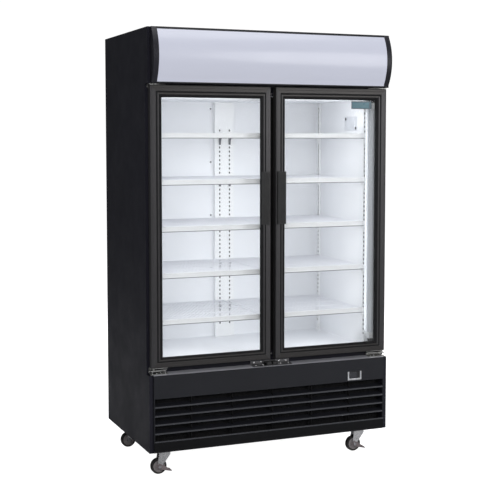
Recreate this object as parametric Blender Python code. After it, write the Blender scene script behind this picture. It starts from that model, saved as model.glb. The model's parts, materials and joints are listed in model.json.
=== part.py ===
"""Upright glass door merchandiser: a two-door display refrigerator on four swivel casters.

Metres, +Z up. X runs from left to right, -Y is the front, and the origin lies on the floor under
the middle of the cabinet's outside box.
"""

import math

import bmesh
import bpy
from mathutils import Matrix, Vector

# Outside box and the main planes
WIDTH = 1.200
DEPTH = 0.745
HEIGHT = 2.015
CANOPY_BULGE = 0.0385          # how far the canopy's arc stands out of its own chord
CANOPY_LIP = 0.0165            # how far that chord stands ahead of the doors
DOOR_SETBACK = 0.040           # from the doors' front to the body's front
BASE_BOTTOM = 0.125
BASE_TOP = 0.475
CANOPY_BOTTOM = 1.770
GAP = 0.0003                   # between pieces that touch

HALF = WIDTH / 2
FRONT = -DEPTH / 2 + CANOPY_BULGE + CANOPY_LIP
REAR = DEPTH / 2
BODY_FRONT = FRONT + DOOR_SETBACK
CANOPY_BACK = BODY_FRONT + 0.060
TOP_SHEET = 0.012
ROOF = HEIGHT - TOP_SHEET

# Walls
CHEEK = 0.0117                 # side sheet beside the canopy
BASE_CHEEK = 0.019             # side flange beside the base
SIDE_WALL = 0.065
BACK_WALL = 0.050
LINER = 0.0025
CEILING = 1.720
FLOOR = 0.515
SILL_TOP = 0.541
SILL_DEPTH = 0.030
INSIDE = HALF - SIDE_WALL - GAP - LINER
BACK_INSIDE = REAR - BACK_WALL - GAP - LINER
LINER_FRONT = BODY_FRONT + SILL_DEPTH + GAP
MULLION_HALF = 0.035
MULLION_DEPTH = 0.024

# Cooling unit, in the upper compartment behind the canopy
COOLER_FRONT = CANOPY_BACK + 0.053
COOLER_TOP = 1.955
TRAY_BOTTOM = 1.7125
TRAY_TOP = CEILING - GAP

# Doors
DOOR_OUTER = 0.588
DOOR_INNER = 0.013
DOOR_BOTTOM = 0.508
DOOR_TOP = 1.763
DOOR_THICK = 0.033
STILE = 0.047
WIDER = 0.0055                 # what the hinge stile and the top rail add to that
REBATE = 0.039                 # from the door's edge to the edge of the glass pocket
LIP_DEPTH = 0.009              # front lip in front of the glass
GLASS_THICK = 0.018
GASKET_INSET = 0.016
GASKET_WIDTH = 0.014
PIN_INSET = 0.012              # hinge axis, from the door's outer edge
PIN_DEPTH = 0.014              # hinge axis, behind the door's front
PIN_RADIUS = 0.0050
PIN_HOLE = 0.0062
PIN_REACH = 0.012              # how far the pin goes into the door
HANDLE_BOTTOM = 1.135
HANDLE_TOP = 1.378
HANDLE_PROUD = 0.010
HINGE_LENGTH = 0.082
HINGE_OUTER = DOOR_OUTER + 0.003
FLANGE = 0.0032                # thickness of the hinge's upright leg

# Base
FASCIA_PROUD = 0.009
FASCIA_BOTTOM = 0.1315
FASCIA_TOP = 0.476
FASCIA_HALF = HALF - BASE_CHEEK - GAP
LEDGE_RISE = 0.006             # how much the ledge behind the fascia slopes up
VENT_BOTTOM = 0.175
VENT_TOP = 0.370
BLADE_PITCH = 0.040
VENT_MARGIN = 0.004            # beside the vent, at each end of the fascia
BLADES = 4
BACK_SLOTS = 6
DISPLAY_LEFT = 0.384
DISPLAY_RIGHT = 0.459
DISPLAY_BOTTOM = 0.376
DISPLAY_TOP = 0.419

# Shelves
SHELF_PITCH = 0.2115
FIRST_SHELF = 0.708
SHELVES = 5
SHELF_INNER = 0.008
SHELF_OUTER = 0.520
SHELF_FRONT = FRONT + 0.085
SHELF_REAR = FRONT + 0.612
SHELF_BAND = 0.025
STRIP_DEPTH = 0.010
LED_BOTTOM = 0.560
LED_TOP = 1.700
LED_POCKET = 0.015             # depth of the rebate in the wall's front edge that takes the light
LED_WIDTH = 0.022

# Casters
CASTER_X = 0.500
CASTER_Y = (FRONT + 0.100, FRONT + 0.590)
CASTER_TRAIL = 0.028
WHEEL_RADIUS = 0.037
WHEEL_HALF = 0.012
WHEEL_SIDES = 32
AXLE_RADIUS = 0.005
AXLE_Z = WHEEL_RADIUS * math.cos(math.pi / WHEEL_SIDES)
BOSS_DROP = 0.0057
PEDAL_REACH = 0.058

SIDES = (("left", -1), ("right", 1))


# Materials

def finish(name, colour, roughness, metallic=0.0, alpha=1.0):
    """A Principled material."""
    material = bpy.data.materials.new(name)
    material.use_nodes = True
    shader = material.node_tree.nodes["Principled BSDF"]
    shader.inputs["Base Color"].default_value = (*colour, 1.0)
    shader.inputs["Roughness"].default_value = roughness
    shader.inputs["Metallic"].default_value = metallic
    shader.inputs["Alpha"].default_value = alpha
    return material


FINISHES = {
    "black_sheet": ((0.018, 0.018, 0.021), 0.45),
    "fascia_black": ((0.020, 0.021, 0.025), 0.40),
    "canopy_black": ((0.012, 0.012, 0.014), 0.35),
    "door_aluminium": ((0.046, 0.044, 0.044), 0.38, 0.6),
    "mullion_black": ((0.010, 0.010, 0.011), 0.50),
    "liner_white": ((0.82, 0.83, 0.85), 0.40),
    "shelf_white": ((0.86, 0.87, 0.88), 0.35),
    "strip_steel": ((0.78, 0.79, 0.80), 0.35, 0.3),
    "cover_white": ((0.80, 0.81, 0.84), 0.40),
    "fin_aluminium": ((0.60, 0.61, 0.62), 0.40, 0.9),
    "fan_black": ((0.020, 0.020, 0.020), 0.50),
    "light_diffuser": ((0.90, 0.91, 0.93), 0.50),
    "sign_acrylic": ((0.62, 0.63, 0.72), 0.30),
    "door_glass": ((0.90, 0.94, 0.93), 0.02, 0.0, 0.15),
    "gasket_black": ((0.015, 0.015, 0.015), 0.80),
    "grip_black": ((0.040, 0.040, 0.042), 0.55),
    "hinge_zinc": ((0.62, 0.62, 0.60), 0.30, 1.0),
    "caster_zinc": ((0.56, 0.56, 0.57), 0.32, 1.0),
    "tyre_black": ((0.025, 0.024, 0.024), 0.60),
    "pedal_grey": ((0.26, 0.20, 0.20), 0.50),
    "display_black": ((0.012, 0.013, 0.015), 0.20),
    "compressor_black": ((0.020, 0.020, 0.022), 0.40),
}


def coloured(obj, kind):
    """Gives the object a material of its own."""
    obj.data.materials.clear()
    obj.data.materials.append(finish(obj.name, *FINISHES[kind]))
    return obj


# Shape helpers

def mesh_object(name, bm):
    """Closes a bmesh into a named object, with its faces pointing out."""
    bmesh.ops.recalc_face_normals(bm, faces=bm.faces)
    mesh = bpy.data.meshes.new(name)
    bm.to_mesh(mesh)
    bm.free()
    obj = bpy.data.objects.new(name, mesh)
    bpy.context.scene.collection.objects.link(obj)
    return obj


def bridge(bm, rings, closed):
    """Quads between neighbouring rings of vertices. Each ring is itself a closed loop."""
    pairs = zip(rings, rings[1:] + rings[:1]) if closed else zip(rings, rings[1:])
    for first, second in pairs:
        for i in range(len(first)):
            j = (i + 1) % len(first)
            bm.faces.new((first[i], first[j], second[j], second[i]))


def prism(name, outline, axis, start, end):
    """Extrudes a flat outline. Its points hold the other two coordinates, in X, Y, Z order."""
    spot = {
        "X": lambda p, along: (along, p[0], p[1]),
        "Y": lambda p, along: (p[0], along, p[1]),
        "Z": lambda p, along: (p[0], p[1], along),
    }[axis]
    bm = bmesh.new()
    rings = [[bm.verts.new(spot(p, along)) for p in outline] for along in (start, end)]
    bm.faces.new(rings[0])
    bm.faces.new(rings[1])
    bridge(bm, rings, closed=False)
    return mesh_object(name, bm)


def box(name, low, high):
    """A box between two corners."""
    outline = [(low[0], low[1]), (high[0], low[1]), (high[0], high[1]), (low[0], high[1])]
    return prism(name, outline, "Z", low[2], high[2])


def turned(name, profile, centre, axis, sides, hollow=False):
    """Turns (radius, along) points about an axis. A hollow profile is a closed loop off the axis."""
    turn = {"X": (1, 2, 0), "Y": (2, 0, 1), "Z": (0, 1, 2)}[axis]
    bm = bmesh.new()
    rings = []
    for radius, along in profile:
        ring = []
        for i in range(sides):
            angle = 2 * math.pi * (i + 0.5) / sides
            point = [0.0, 0.0, 0.0]
            point[turn[0]] = radius * math.cos(angle)
            point[turn[1]] = radius * math.sin(angle)
            point[turn[2]] = along
            ring.append(bm.verts.new(Vector(point) + Vector(centre)))
        rings.append(ring)
    bridge(bm, rings, closed=hollow)
    if not hollow:
        bm.faces.new(rings[0])
        bm.faces.new(rings[-1])
    obj = mesh_object(name, bm)
    obj.data.shade_smooth()
    obj.data.set_sharp_from_angle(angle=math.radians(35))
    return obj


def rim(name, low, high, profile, wider=((0, 0), (0, 0))):
    """A mitred rectangular frame. Its profile holds (inset from the edge, depth behind FRONT).

    wider holds what the low and high sides add to the insets, in X and in Z, past their outer corner.
    """
    corner = 0.002
    bm = bmesh.new()
    rings = []
    for right, up in ((0, 0), (1, 0), (1, 1), (0, 1)):
        ring = []
        for inset, depth in profile:
            across = inset + (wider[0][right] if inset > corner else 0)
            along = inset + (wider[1][up] if inset > corner else 0)
            x = high[0] - across if right else low[0] + across
            z = high[1] - along if up else low[1] + along
            ring.append(bm.verts.new((x, FRONT + depth, z)))
        rings.append(ring)
    bridge(bm, rings, closed=True)
    return mesh_object(name, bm)


def pierced_plate(name, xs, zs, holes, front, back):
    """A plate in the XZ plane whose grid cells listed in holes are open, as (column, row) pairs."""
    bm = bmesh.new()
    spots = {}

    def vertex(i, j, y):
        if (i, j, y) not in spots:
            spots[i, j, y] = bm.verts.new((xs[i], y, zs[j]))
        return spots[i, j, y]

    columns, rows = len(xs) - 1, len(zs) - 1
    solid = {(i, j) for i in range(columns) for j in range(rows)} - set(holes)
    for i, j in sorted(solid):
        corners = ((i, j), (i + 1, j), (i + 1, j + 1), (i, j + 1))
        for y in (front, back):
            bm.faces.new([vertex(a, b, y) for a, b in corners])
        beside = ((i, j - 1), (i + 1, j), (i, j + 1), (i - 1, j))
        for k, cell in enumerate(beside):
            if cell not in solid:
                start, end = corners[k], corners[(k + 1) % 4]
                edge = ((*start, front), (*end, front), (*end, back), (*start, back))
                bm.faces.new([vertex(*spot) for spot in edge])
    return mesh_object(name, bm)


def combine(target, tool, operation="UNION"):
    """Applies one exact Boolean and removes the tool."""
    tool.hide_render = True
    tool.display_type = "WIRE"
    modifier = target.modifiers.new(operation.title(), "BOOLEAN")
    modifier.operation = operation
    modifier.solver = "EXACT"
    modifier.object = tool
    evaluated = target.evaluated_get(bpy.context.evaluated_depsgraph_get())
    result = bpy.data.meshes.new_from_object(evaluated)
    target.modifiers.clear()
    target.data = result
    bpy.data.objects.remove(tool)
    return target


def soften(obj, width, segments=1):
    """Rounds the edges of a plain solid."""
    modifier = obj.modifiers.new("Bevel", "BEVEL")
    modifier.width = width
    modifier.segments = segments
    modifier.limit_method = "ANGLE"
    modifier.angle_limit = math.radians(40)
    return obj


def pivot(name, point):
    """An empty on a joint's axis."""
    empty = bpy.data.objects.new(name, None)
    empty.location = point
    bpy.context.scene.collection.objects.link(empty)
    return empty


def place(obj, point, parent=None):
    """Moves the origin to a point and leaves the shape where it is."""
    obj.data.transform(Matrix.Translation(-Vector(point)))
    obj.location = point
    if parent:
        obj.parent = parent
        obj.location = Vector(point) - parent.location
    return obj


def place_centre(obj):
    """Moves the origin to the middle of the shape's own box."""
    corners = [Vector(corner) for corner in obj.bound_box]
    return place(obj, sum(corners, Vector()) / len(corners))


def canopy_arc(inset=0.0, steps=12):
    """(y, z) points up the canopy's bulging front, moved in along its radius."""
    rise = (HEIGHT - CANOPY_BOTTOM) / 2
    radius = (rise ** 2 + CANOPY_BULGE ** 2) / (2 * CANOPY_BULGE)
    centre_y = -DEPTH / 2 + radius
    centre_z = CANOPY_BOTTOM + rise
    reach = math.asin(rise / radius)
    angles = [-reach + 2 * reach * i / steps for i in range(steps + 1)]
    return [
        (centre_y - (radius - inset) * math.cos(a), centre_z + (radius - inset) * math.sin(a))
        for a in angles
    ]


# Cabinet

def side_panel(side, sign):
    """C-shaped side sheet with the foam wall and the base flange behind it."""
    name = "side_panel_" + side
    outline = [
        (FRONT, BASE_BOTTOM), (REAR, BASE_BOTTOM), (REAR, HEIGHT), (FRONT, HEIGHT),
        (FRONT, CANOPY_BOTTOM), (BODY_FRONT, CANOPY_BOTTOM), (BODY_FRONT, BASE_TOP), (FRONT, BASE_TOP),
    ]
    panel = prism(name, outline, "X", sign * (HALF - CHEEK), sign * HALF)
    overlap = HALF - CHEEK + 0.002
    wall = [
        (BODY_FRONT, BASE_TOP), (REAR, BASE_TOP), (REAR, ROOF - GAP), (CANOPY_BACK + GAP, ROOF - GAP),
        (CANOPY_BACK + GAP, CANOPY_BOTTOM - GAP), (BODY_FRONT, CANOPY_BOTTOM - GAP),
    ]
    combine(panel, prism("wall", wall, "X", sign * (HALF - SIDE_WALL), sign * overlap))
    flange = [
        (FRONT, BASE_BOTTOM), (REAR, BASE_BOTTOM), (REAR, BASE_TOP + 0.001),
        (BODY_FRONT, BASE_TOP + 0.001), (BODY_FRONT, BASE_TOP), (FRONT, BASE_TOP),
    ]
    combine(panel, prism("flange", flange, "X", sign * (HALF - BASE_CHEEK), sign * overlap))
    inner, outer = sorted((sign * (HALF - SIDE_WALL - 0.001), sign * (HALF - SIDE_WALL + LED_POCKET)))
    low = (inner, BODY_FRONT - 0.001, LED_BOTTOM - 0.001)
    high = (outer, LINER_FRONT - GAP, LED_TOP + 0.001)
    combine(panel, box("pocket", low, high), "DIFFERENCE")
    return coloured(panel, "black_sheet")


def back_panel():
    """Insulated back of the chilled space."""
    half = HALF - SIDE_WALL - GAP
    panel = box("back_panel", (-half, REAR - BACK_WALL, BASE_TOP + GAP), (half, REAR - 0.004, ROOF - GAP))
    return coloured(panel, "black_sheet")


def top_panel():
    """Rail above the doors, and the insulated front and roof of the cooling unit's compartment."""
    half = HALF - SIDE_WALL - GAP
    back = REAR - BACK_WALL - GAP
    skin = LINER + GAP
    outline = [
        (BODY_FRONT, CEILING + skin), (BODY_FRONT, CANOPY_BOTTOM - GAP),
        (CANOPY_BACK + GAP, CANOPY_BOTTOM - GAP), (CANOPY_BACK + GAP, ROOF - GAP), (back, ROOF - GAP),
        (back, COOLER_TOP + skin), (COOLER_FRONT - skin, COOLER_TOP + skin),
        (COOLER_FRONT - skin, CEILING + skin),
    ]
    return coloured(prism("top_panel", outline, "X", -half, half), "black_sheet")


def floor_panel():
    """Insulated floor with the sill that the door gaskets close on."""
    half = HALF - SIDE_WALL - GAP
    back = REAR - BACK_WALL - GAP
    skin = FLOOR - LINER - GAP
    outline = [
        (BODY_FRONT, BASE_TOP + GAP), (back, BASE_TOP + GAP), (back, skin),
        (BODY_FRONT + SILL_DEPTH, skin), (BODY_FRONT + SILL_DEPTH, SILL_TOP), (BODY_FRONT, SILL_TOP),
    ]
    return coloured(prism("floor_panel", outline, "X", -half, half), "black_sheet")


def inner_liner():
    """White skin of the chilled space and of the compartment above it, open at the front."""
    outer = INSIDE + LINER
    back = BACK_INSIDE + LINER
    shell = box("inner_liner", (-outer, LINER_FRONT, FLOOR - LINER), (outer, back, CEILING + LINER))
    combine(shell, box("upper", (-outer, COOLER_FRONT - LINER, CEILING), (outer, back, COOLER_TOP + LINER)))
    lower_hollow = box("hollow", (-INSIDE, LINER_FRONT - 0.01, FLOOR), (INSIDE, BACK_INSIDE, CEILING))
    upper_hollow = box("hollow", (-INSIDE, COOLER_FRONT, CEILING - 0.01), (INSIDE, BACK_INSIDE, COOLER_TOP))
    combine(shell, lower_hollow, "DIFFERENCE")
    return coloured(combine(shell, upper_hollow, "DIFFERENCE"), "liner_white")


def centre_mullion():
    low = (-MULLION_HALF, BODY_FRONT, SILL_TOP + GAP)
    high = (MULLION_HALF, BODY_FRONT + MULLION_DEPTH, CEILING - GAP)
    return coloured(box("centre_mullion", low, high), "mullion_black")


# Chilled space

EVAPORATOR_FAN = Vector((0.0, -0.050, 1.7400))
EVAPORATOR_FAN_RADIUS = 0.085
RETURN_SLOTS = 8


def evaporator_cover():
    """Tray under the cooling unit, with a round mouth for the fan and return slots at the back."""
    half = INSIDE - GAP
    low = (-half, COOLER_FRONT + GAP, TRAY_BOTTOM)
    tray = box("evaporator_cover", low, (half, BACK_INSIDE - GAP, TRAY_TOP))
    reach = EVAPORATOR_FAN_RADIUS + 0.004
    centre = (EVAPORATOR_FAN.x, EVAPORATOR_FAN.y, TRAY_BOTTOM)
    combine(tray, turned("mouth", [(reach, -0.01), (reach, 0.02)], centre, "Z", 24), "DIFFERENCE")
    pitch = 2 * half / RETURN_SLOTS
    for i in range(RETURN_SLOTS):
        x = -half + pitch * (i + 0.5)
        slot = box("slot", (x - 0.045, BACK_INSIDE - 0.045, 1), (x + 0.045, BACK_INSIDE - 0.030, 2))
        combine(tray, slot, "DIFFERENCE")
    return coloured(tray, "cover_white")


def evaporator_coil():
    low = (-0.460, 0.060, TRAY_TOP + GAP)
    return coloured(soften(box("evaporator_coil", low, (0.460, 0.260, 1.930)), 0.003), "fin_aluminium")


def fan(name, centre, radius, depth, blades, upright=False):
    """Hub with flat blades set at an angle. It turns about Y, or about Z when upright."""
    hub_radius = radius * 0.30
    profile = [(hub_radius * 0.87, -depth / 2), (hub_radius, -depth / 2 + 0.002), (hub_radius, depth / 2)]
    hub = turned(name, profile, (0, 0, 0), "Y", 16)
    for i in range(blades):
        start, half = radius * 0.22, radius * 0.30
        blade = box("blade", (start, -0.0012, -half), (radius, 0.0012, half))
        tilt = Matrix.Rotation(math.radians(28), 4, "X")
        around = Matrix.Rotation(2 * math.pi * i / blades, 4, "Y")
        blade.data.transform(around @ tilt)
        combine(hub, blade)
    if upright:
        hub.data.transform(Matrix.Rotation(math.radians(90), 4, "X"))
    hub.data.transform(Matrix.Translation(centre))
    return coloured(hub, "fan_black")


def centre_pilaster():
    """Panel in the middle of the back wall that carries two shelf strips."""
    low = (-0.052, BACK_INSIDE - 0.0215, FLOOR + GAP)
    high = (0.052, BACK_INSIDE - GAP, TRAY_BOTTOM - GAP)
    return coloured(box("rear_centre_pilaster", low, high), "strip_steel")


def wall_pilaster(end, y, side, sign, top):
    name = "pilaster_" + end + "_" + side
    inner = sign * (INSIDE - STRIP_DEPTH)
    outer = sign * (INSIDE - GAP)
    low = (min(inner, outer), y - 0.010, FLOOR + GAP)
    return coloured(box(name, low, (max(inner, outer), y + 0.010, top)), "strip_steel")


def shelf(side, sign, level):
    """Shelf with a deep front band and a low turned-down back edge."""
    top = FIRST_SHELF + SHELF_PITCH * (level - 1)
    deck_top, deck_bottom, lip = top - 0.004, top - 0.012, top - 0.018
    outline = [
        (SHELF_FRONT, top), (SHELF_FRONT, top - SHELF_BAND), (SHELF_FRONT + 0.006, top - SHELF_BAND),
        (SHELF_FRONT + 0.006, deck_bottom), (SHELF_REAR - 0.006, deck_bottom),
        (SHELF_REAR - 0.006, lip), (SHELF_REAR, lip), (SHELF_REAR, deck_top),
        (SHELF_FRONT + 0.004, deck_top), (SHELF_FRONT + 0.004, top),
    ]
    name = "shelf_" + side + "_" + str(level)
    return coloured(prism(name, outline, "X", sign * SHELF_INNER, sign * SHELF_OUTER), "shelf_white")


def led_strip(side, sign):
    """Vertical light in the rebate at the front corner of the opening."""
    wall = sign * (HALF - SIDE_WALL + LED_POCKET - GAP)
    front, back = BODY_FRONT + 0.003, BODY_FRONT + 0.029
    face = wall - sign * LED_WIDTH
    outline = [(wall, front), (wall, back), (face, back), (face, front + 0.011), (wall - sign * 0.010, front)]
    return coloured(prism("led_strip_" + side, outline, "Z", LED_BOTTOM, LED_TOP), "light_diffuser")


# Base

def base_frame():
    """Machine pan with a vented upstand at the back, a boss over each caster and the mains gland."""
    half = FASCIA_HALF
    columns = [-half, -0.46, -0.10, 0.10, 0.46, half]
    rows = [BASE_BOTTOM + 0.001]
    for i in range(BACK_SLOTS):
        bottom = 0.200 + 0.036 * i
        rows += [bottom, bottom + 0.016]
    rows.append(BASE_TOP - GAP)
    holes = [(column, 1 + 2 * i) for column in (1, 3) for i in range(BACK_SLOTS)]
    sheet_back = REAR - 0.001
    frame = pierced_plate("base_frame", columns, rows, holes, sheet_back - 0.005, sheet_back)
    combine(frame, box("pan", (-half, FRONT - 0.004, BASE_BOTTOM), (half, sheet_back, FASCIA_BOTTOM - GAP)))
    for y in CASTER_Y:
        for _, sign in SIDES:
            centre = (sign * CASTER_X, y, BASE_BOTTOM - BOSS_DROP)
            combine(frame, turned("boss", [(0.016, 0.0), (0.016, 0.010)], centre, "Z", 16))
    gland = [(0.013, -0.001), (0.013, -0.008), (0.009, -0.010)]
    combine(frame, turned("gland", gland, (-0.50, REAR, 0.26), "Y", 16))
    return coloured(frame, "black_sheet")


def louvre_grille():
    """Fascia open across its lower part behind sloping blades, with a ledge behind its top edge."""
    front = FRONT - FASCIA_PROUD
    half = FASCIA_HALF
    columns = [-half, VENT_MARGIN - half, DISPLAY_LEFT, DISPLAY_RIGHT, half - VENT_MARGIN, half]
    rows = [FASCIA_BOTTOM, VENT_BOTTOM, VENT_TOP, DISPLAY_BOTTOM, DISPLAY_TOP, FASCIA_TOP]
    holes = [(1, 1), (2, 1), (3, 1), (2, 3)]
    grille = pierced_plate("louvre_grille", columns, rows, holes, front, front + 0.012)
    ledge = [
        (front + 0.0005, FASCIA_TOP - 0.0001), (front + 0.0005, FASCIA_TOP - 0.006),
        (BODY_FRONT - GAP, FASCIA_TOP - 0.001), (BODY_FRONT - GAP, FASCIA_TOP + LEDGE_RISE),
    ]
    combine(grille, prism("ledge", ledge, "X", -half, half))
    reach = half - VENT_MARGIN + 0.002
    for i in range(BLADES):
        edge = VENT_BOTTOM + BLADE_PITCH * (i + 1)
        outline = [
            (front + 0.0015, edge), (front + 0.0015, edge - 0.007), (front + 0.0045, edge - 0.007),
            (front + 0.0045, edge - 0.003), (front + 0.034, edge + 0.005), (front + 0.034, edge + 0.008),
        ]
        combine(grille, prism("blade", outline, "X", -reach, reach))
    return coloured(grille, "fascia_black")


def controller():
    """Display unit that fills the cut-out of the fascia."""
    front = FRONT - FASCIA_PROUD
    low = (DISPLAY_LEFT + GAP, front - 0.001, DISPLAY_BOTTOM + GAP)
    high = (DISPLAY_RIGHT - GAP, front + 0.050, DISPLAY_TOP - GAP)
    return coloured(box("controller", low, high), "display_black")


CONDENSER_FAN = Vector((0.170, FRONT + 0.150, 0.290))


def condenser_coil():
    low = (-0.020, FRONT + 0.060, FASCIA_BOTTOM)
    return coloured(soften(box("condenser_coil", low, (0.360, FRONT + 0.110, 0.440)), 0.003), "fin_aluminium")


def compressor():
    """Sealed pot on a square foot."""
    foot_top = FASCIA_BOTTOM + 0.012
    x, y, half = -0.250, 0.080, 0.095
    profile = [
        (0.060, 0.0), (0.082, 0.020), (0.088, 0.060), (0.088, 0.120),
        (0.076, 0.158), (0.044, 0.180), (0.012, 0.186),
    ]
    pot = turned("compressor", profile, (x, y, foot_top - 0.004), "Z", 24)
    combine(pot, box("foot", (x - half, y - half, FASCIA_BOTTOM), (x + half, y + half, foot_top)))
    return coloured(pot, "compressor_black")


# Canopy

CAP_INNER = DOOR_OUTER - 0.026
CANOPY_FLOOR = 0.006           # thickness of the channel's lower lip
CANOPY_LID = 0.010             # and of its upper one


def canopy_housing():
    """Sheet hood: the top of the cabinet, and the channel that holds the light and its panel."""
    arc = canopy_arc()
    low_y, high_y = arc[0][0], arc[-1][0]
    back = CANOPY_BACK
    floor, ceiling = CANOPY_BOTTOM + CANOPY_FLOOR, HEIGHT - CANOPY_LID
    outline = [
        (low_y, CANOPY_BOTTOM), (back, CANOPY_BOTTOM), (back, HEIGHT), (high_y, HEIGHT),
        (high_y - 0.003, ceiling), (back - 0.008, ceiling), (back - 0.008, floor), (low_y - 0.003, floor),
    ]
    half = CAP_INNER - GAP
    hood = prism("canopy_housing", outline, "X", -half, half)
    side = HALF - CHEEK - GAP
    top = box("top", (-side, CANOPY_BACK + GAP, ROOF), (side, REAR, HEIGHT))
    joint = box("joint", (-half, CANOPY_BACK - 0.004, ROOF), (half, CANOPY_BACK + 0.010, HEIGHT))
    combine(top, joint)
    return coloured(combine(hood, top), "canopy_black")


def canopy_end_cap(side, sign):
    outline = canopy_arc() + [(CANOPY_BACK, HEIGHT), (CANOPY_BACK, CANOPY_BOTTOM)]
    name = "canopy_end_cap_" + side
    return coloured(prism(name, outline, "X", sign * CAP_INNER, sign * (HALF - CHEEK - GAP)), "canopy_black")


def canopy_light_panel():
    """Curved translucent front of the light box."""
    low, high = CANOPY_BOTTOM + CANOPY_FLOOR + GAP, HEIGHT - CANOPY_LID - GAP
    outer = [p for p in canopy_arc(0.002, 16) if low < p[1] < high]
    inner = [p for p in canopy_arc(0.005, 16) if low < p[1] < high]
    outer = [(outer[0][0] + 0.002, low)] + outer + [(outer[-1][0] + 0.002, high)]
    inner = [(inner[0][0] + 0.003, low)] + inner + [(inner[-1][0] + 0.003, high)]
    half = CAP_INNER - GAP
    panel = prism("canopy_light_panel", outer + inner[::-1], "X", -half, half)
    return coloured(panel, "sign_acrylic")


def canopy_light_tube():
    middle = (HEIGHT + CANOPY_BOTTOM) / 2
    socket, tube, reach = 0.013, 0.008, 0.540
    profile = [(socket, -reach), (socket, 0.035 - reach), (tube, 0.035 - reach)]
    profile += [(radius, -along) for radius, along in reversed(profile)]
    lamp = turned("canopy_light_tube", profile, (0, FRONT + 0.020, middle), "X", 12)
    return coloured(lamp, "light_diffuser")


# Doors

def door_corners(sign, inset=0.0, wider=0.0):
    """(x, z) of a door's low and high corners, drawn in by inset, and by more at the hinge and the top."""
    xs = sorted((sign * (DOOR_INNER + inset), sign * (DOOR_OUTER - inset - wider)))
    return (xs[0], DOOR_BOTTOM + inset), (xs[1], DOOR_TOP - inset - wider)


def door_frame(side, sign):
    """Mitred frame: flat outer band, groove, inner band, black bead, and the glass pocket behind."""
    profile = [
        (0.0, 0.0015), (0.0015, 0.0), (0.0245, 0.0), (0.0255, 0.0025), (0.0270, 0.0025), (0.0280, 0.0),
        (0.0385, 0.0), (0.0400, 0.0015), (STILE - 0.003, 0.0045), (STILE, 0.0070), (STILE, LIP_DEPTH),
        (REBATE, LIP_DEPTH), (REBATE, DOOR_THICK), (0.0, DOOR_THICK),
    ]
    low, high = door_corners(sign)
    hinge_side = (0, WIDER) if sign > 0 else (WIDER, 0)
    frame = rim("door_frame_" + side, low, high, profile, (hinge_side, (0, WIDER)))
    x = sign * (DOOR_OUTER - PIN_INSET)
    for bottom in (DOOR_BOTTOM - 0.001, DOOR_TOP - PIN_REACH - 0.002):
        hole = [(PIN_HOLE, 0.0), (PIN_HOLE, PIN_REACH + 0.003)]
        combine(frame, turned("hole", hole, (x, FRONT + PIN_DEPTH, bottom), "Z", 16), "DIFFERENCE")
    return coloured(frame, "door_aluminium")


def door_glass(side, sign):
    low, high = door_corners(sign, REBATE + GAP, WIDER)
    front = FRONT + LIP_DEPTH + GAP
    pane = box("door_glass_" + side, (low[0], front, low[1]), (high[0], front + GLASS_THICK, high[1]))
    return coloured(pane, "door_glass")


def door_gasket(side, sign):
    """Magnetic seal on the back of the door."""
    front = DOOR_THICK + GAP
    back = DOOR_SETBACK - GAP
    inner = GASKET_INSET + GASKET_WIDTH
    profile = [
        (GASKET_INSET, front), (inner, front), (inner, back - 0.002),
        (inner - 0.003, back), (GASKET_INSET + 0.003, back), (GASKET_INSET, back - 0.002),
    ]
    return coloured(rim("door_gasket_" + side, *door_corners(sign), profile), "gasket_black")


def door_handle(side, sign):
    """Grip with a finger gap behind its outer half."""
    face = FRONT - HANDLE_PROUD
    near, far = DOOR_INNER + 0.0065, DOOR_INNER + 0.0485
    outline = [
        (near, FRONT - GAP), (near, face + 0.003), (near + 0.003, face),
        (far - 0.0025, face), (far, face + 0.002), (far, face + 0.0035),
        (near + 0.0205, face + 0.0035), (near + 0.0185, FRONT - GAP),
    ]
    outline = [(sign * x, y) for x, y in outline]
    return coloured(prism("door_handle_" + side, outline, "Z", HANDLE_BOTTOM, HANDLE_TOP), "grip_black")


def hinge(end, side, sign):
    """Bracket screwed to the body, with the pin that the door turns on."""
    if end == "bottom":
        plate_low, plate_high = DOOR_BOTTOM - 0.0150, DOOR_BOTTOM - 0.0100
        flange_low, flange_high = plate_low, DOOR_BOTTOM - 0.0020
        pin_ends = (plate_low + 0.001, DOOR_BOTTOM + PIN_REACH - 0.001)
    else:
        plate_low, plate_high = DOOR_TOP + 0.0015, CANOPY_BOTTOM - 0.0020
        flange_low, flange_high = DOOR_TOP - 0.0100, CANOPY_BOTTOM - 0.0010
        pin_ends = (DOOR_TOP - PIN_REACH + 0.001, plate_high - 0.001)
    outer, inner = sign * HINGE_OUTER, sign * (HINGE_OUTER - HINGE_LENGTH)
    back = BODY_FRONT - GAP
    outline = [
        (outer, FRONT + 0.003), (outer, back), (inner, back), (inner, FRONT + 0.024),
        (sign * (DOOR_OUTER - 0.034), FRONT + 0.003),
    ]
    bracket = prism("hinge_" + end + "_" + side, outline, "Z", plate_low, plate_high)
    ends = sorted((outer, inner))
    combine(bracket, box("flange", (ends[0], back - FLANGE, flange_low), (ends[1], back, flange_high)))
    centre = (sign * (DOOR_OUTER - PIN_INSET), FRONT + PIN_DEPTH, 0)
    pin = turned("pin", [(PIN_RADIUS, along) for along in pin_ends], centre, "Z", 16)
    return coloured(combine(bracket, pin), "hinge_zinc")


# Casters

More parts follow.
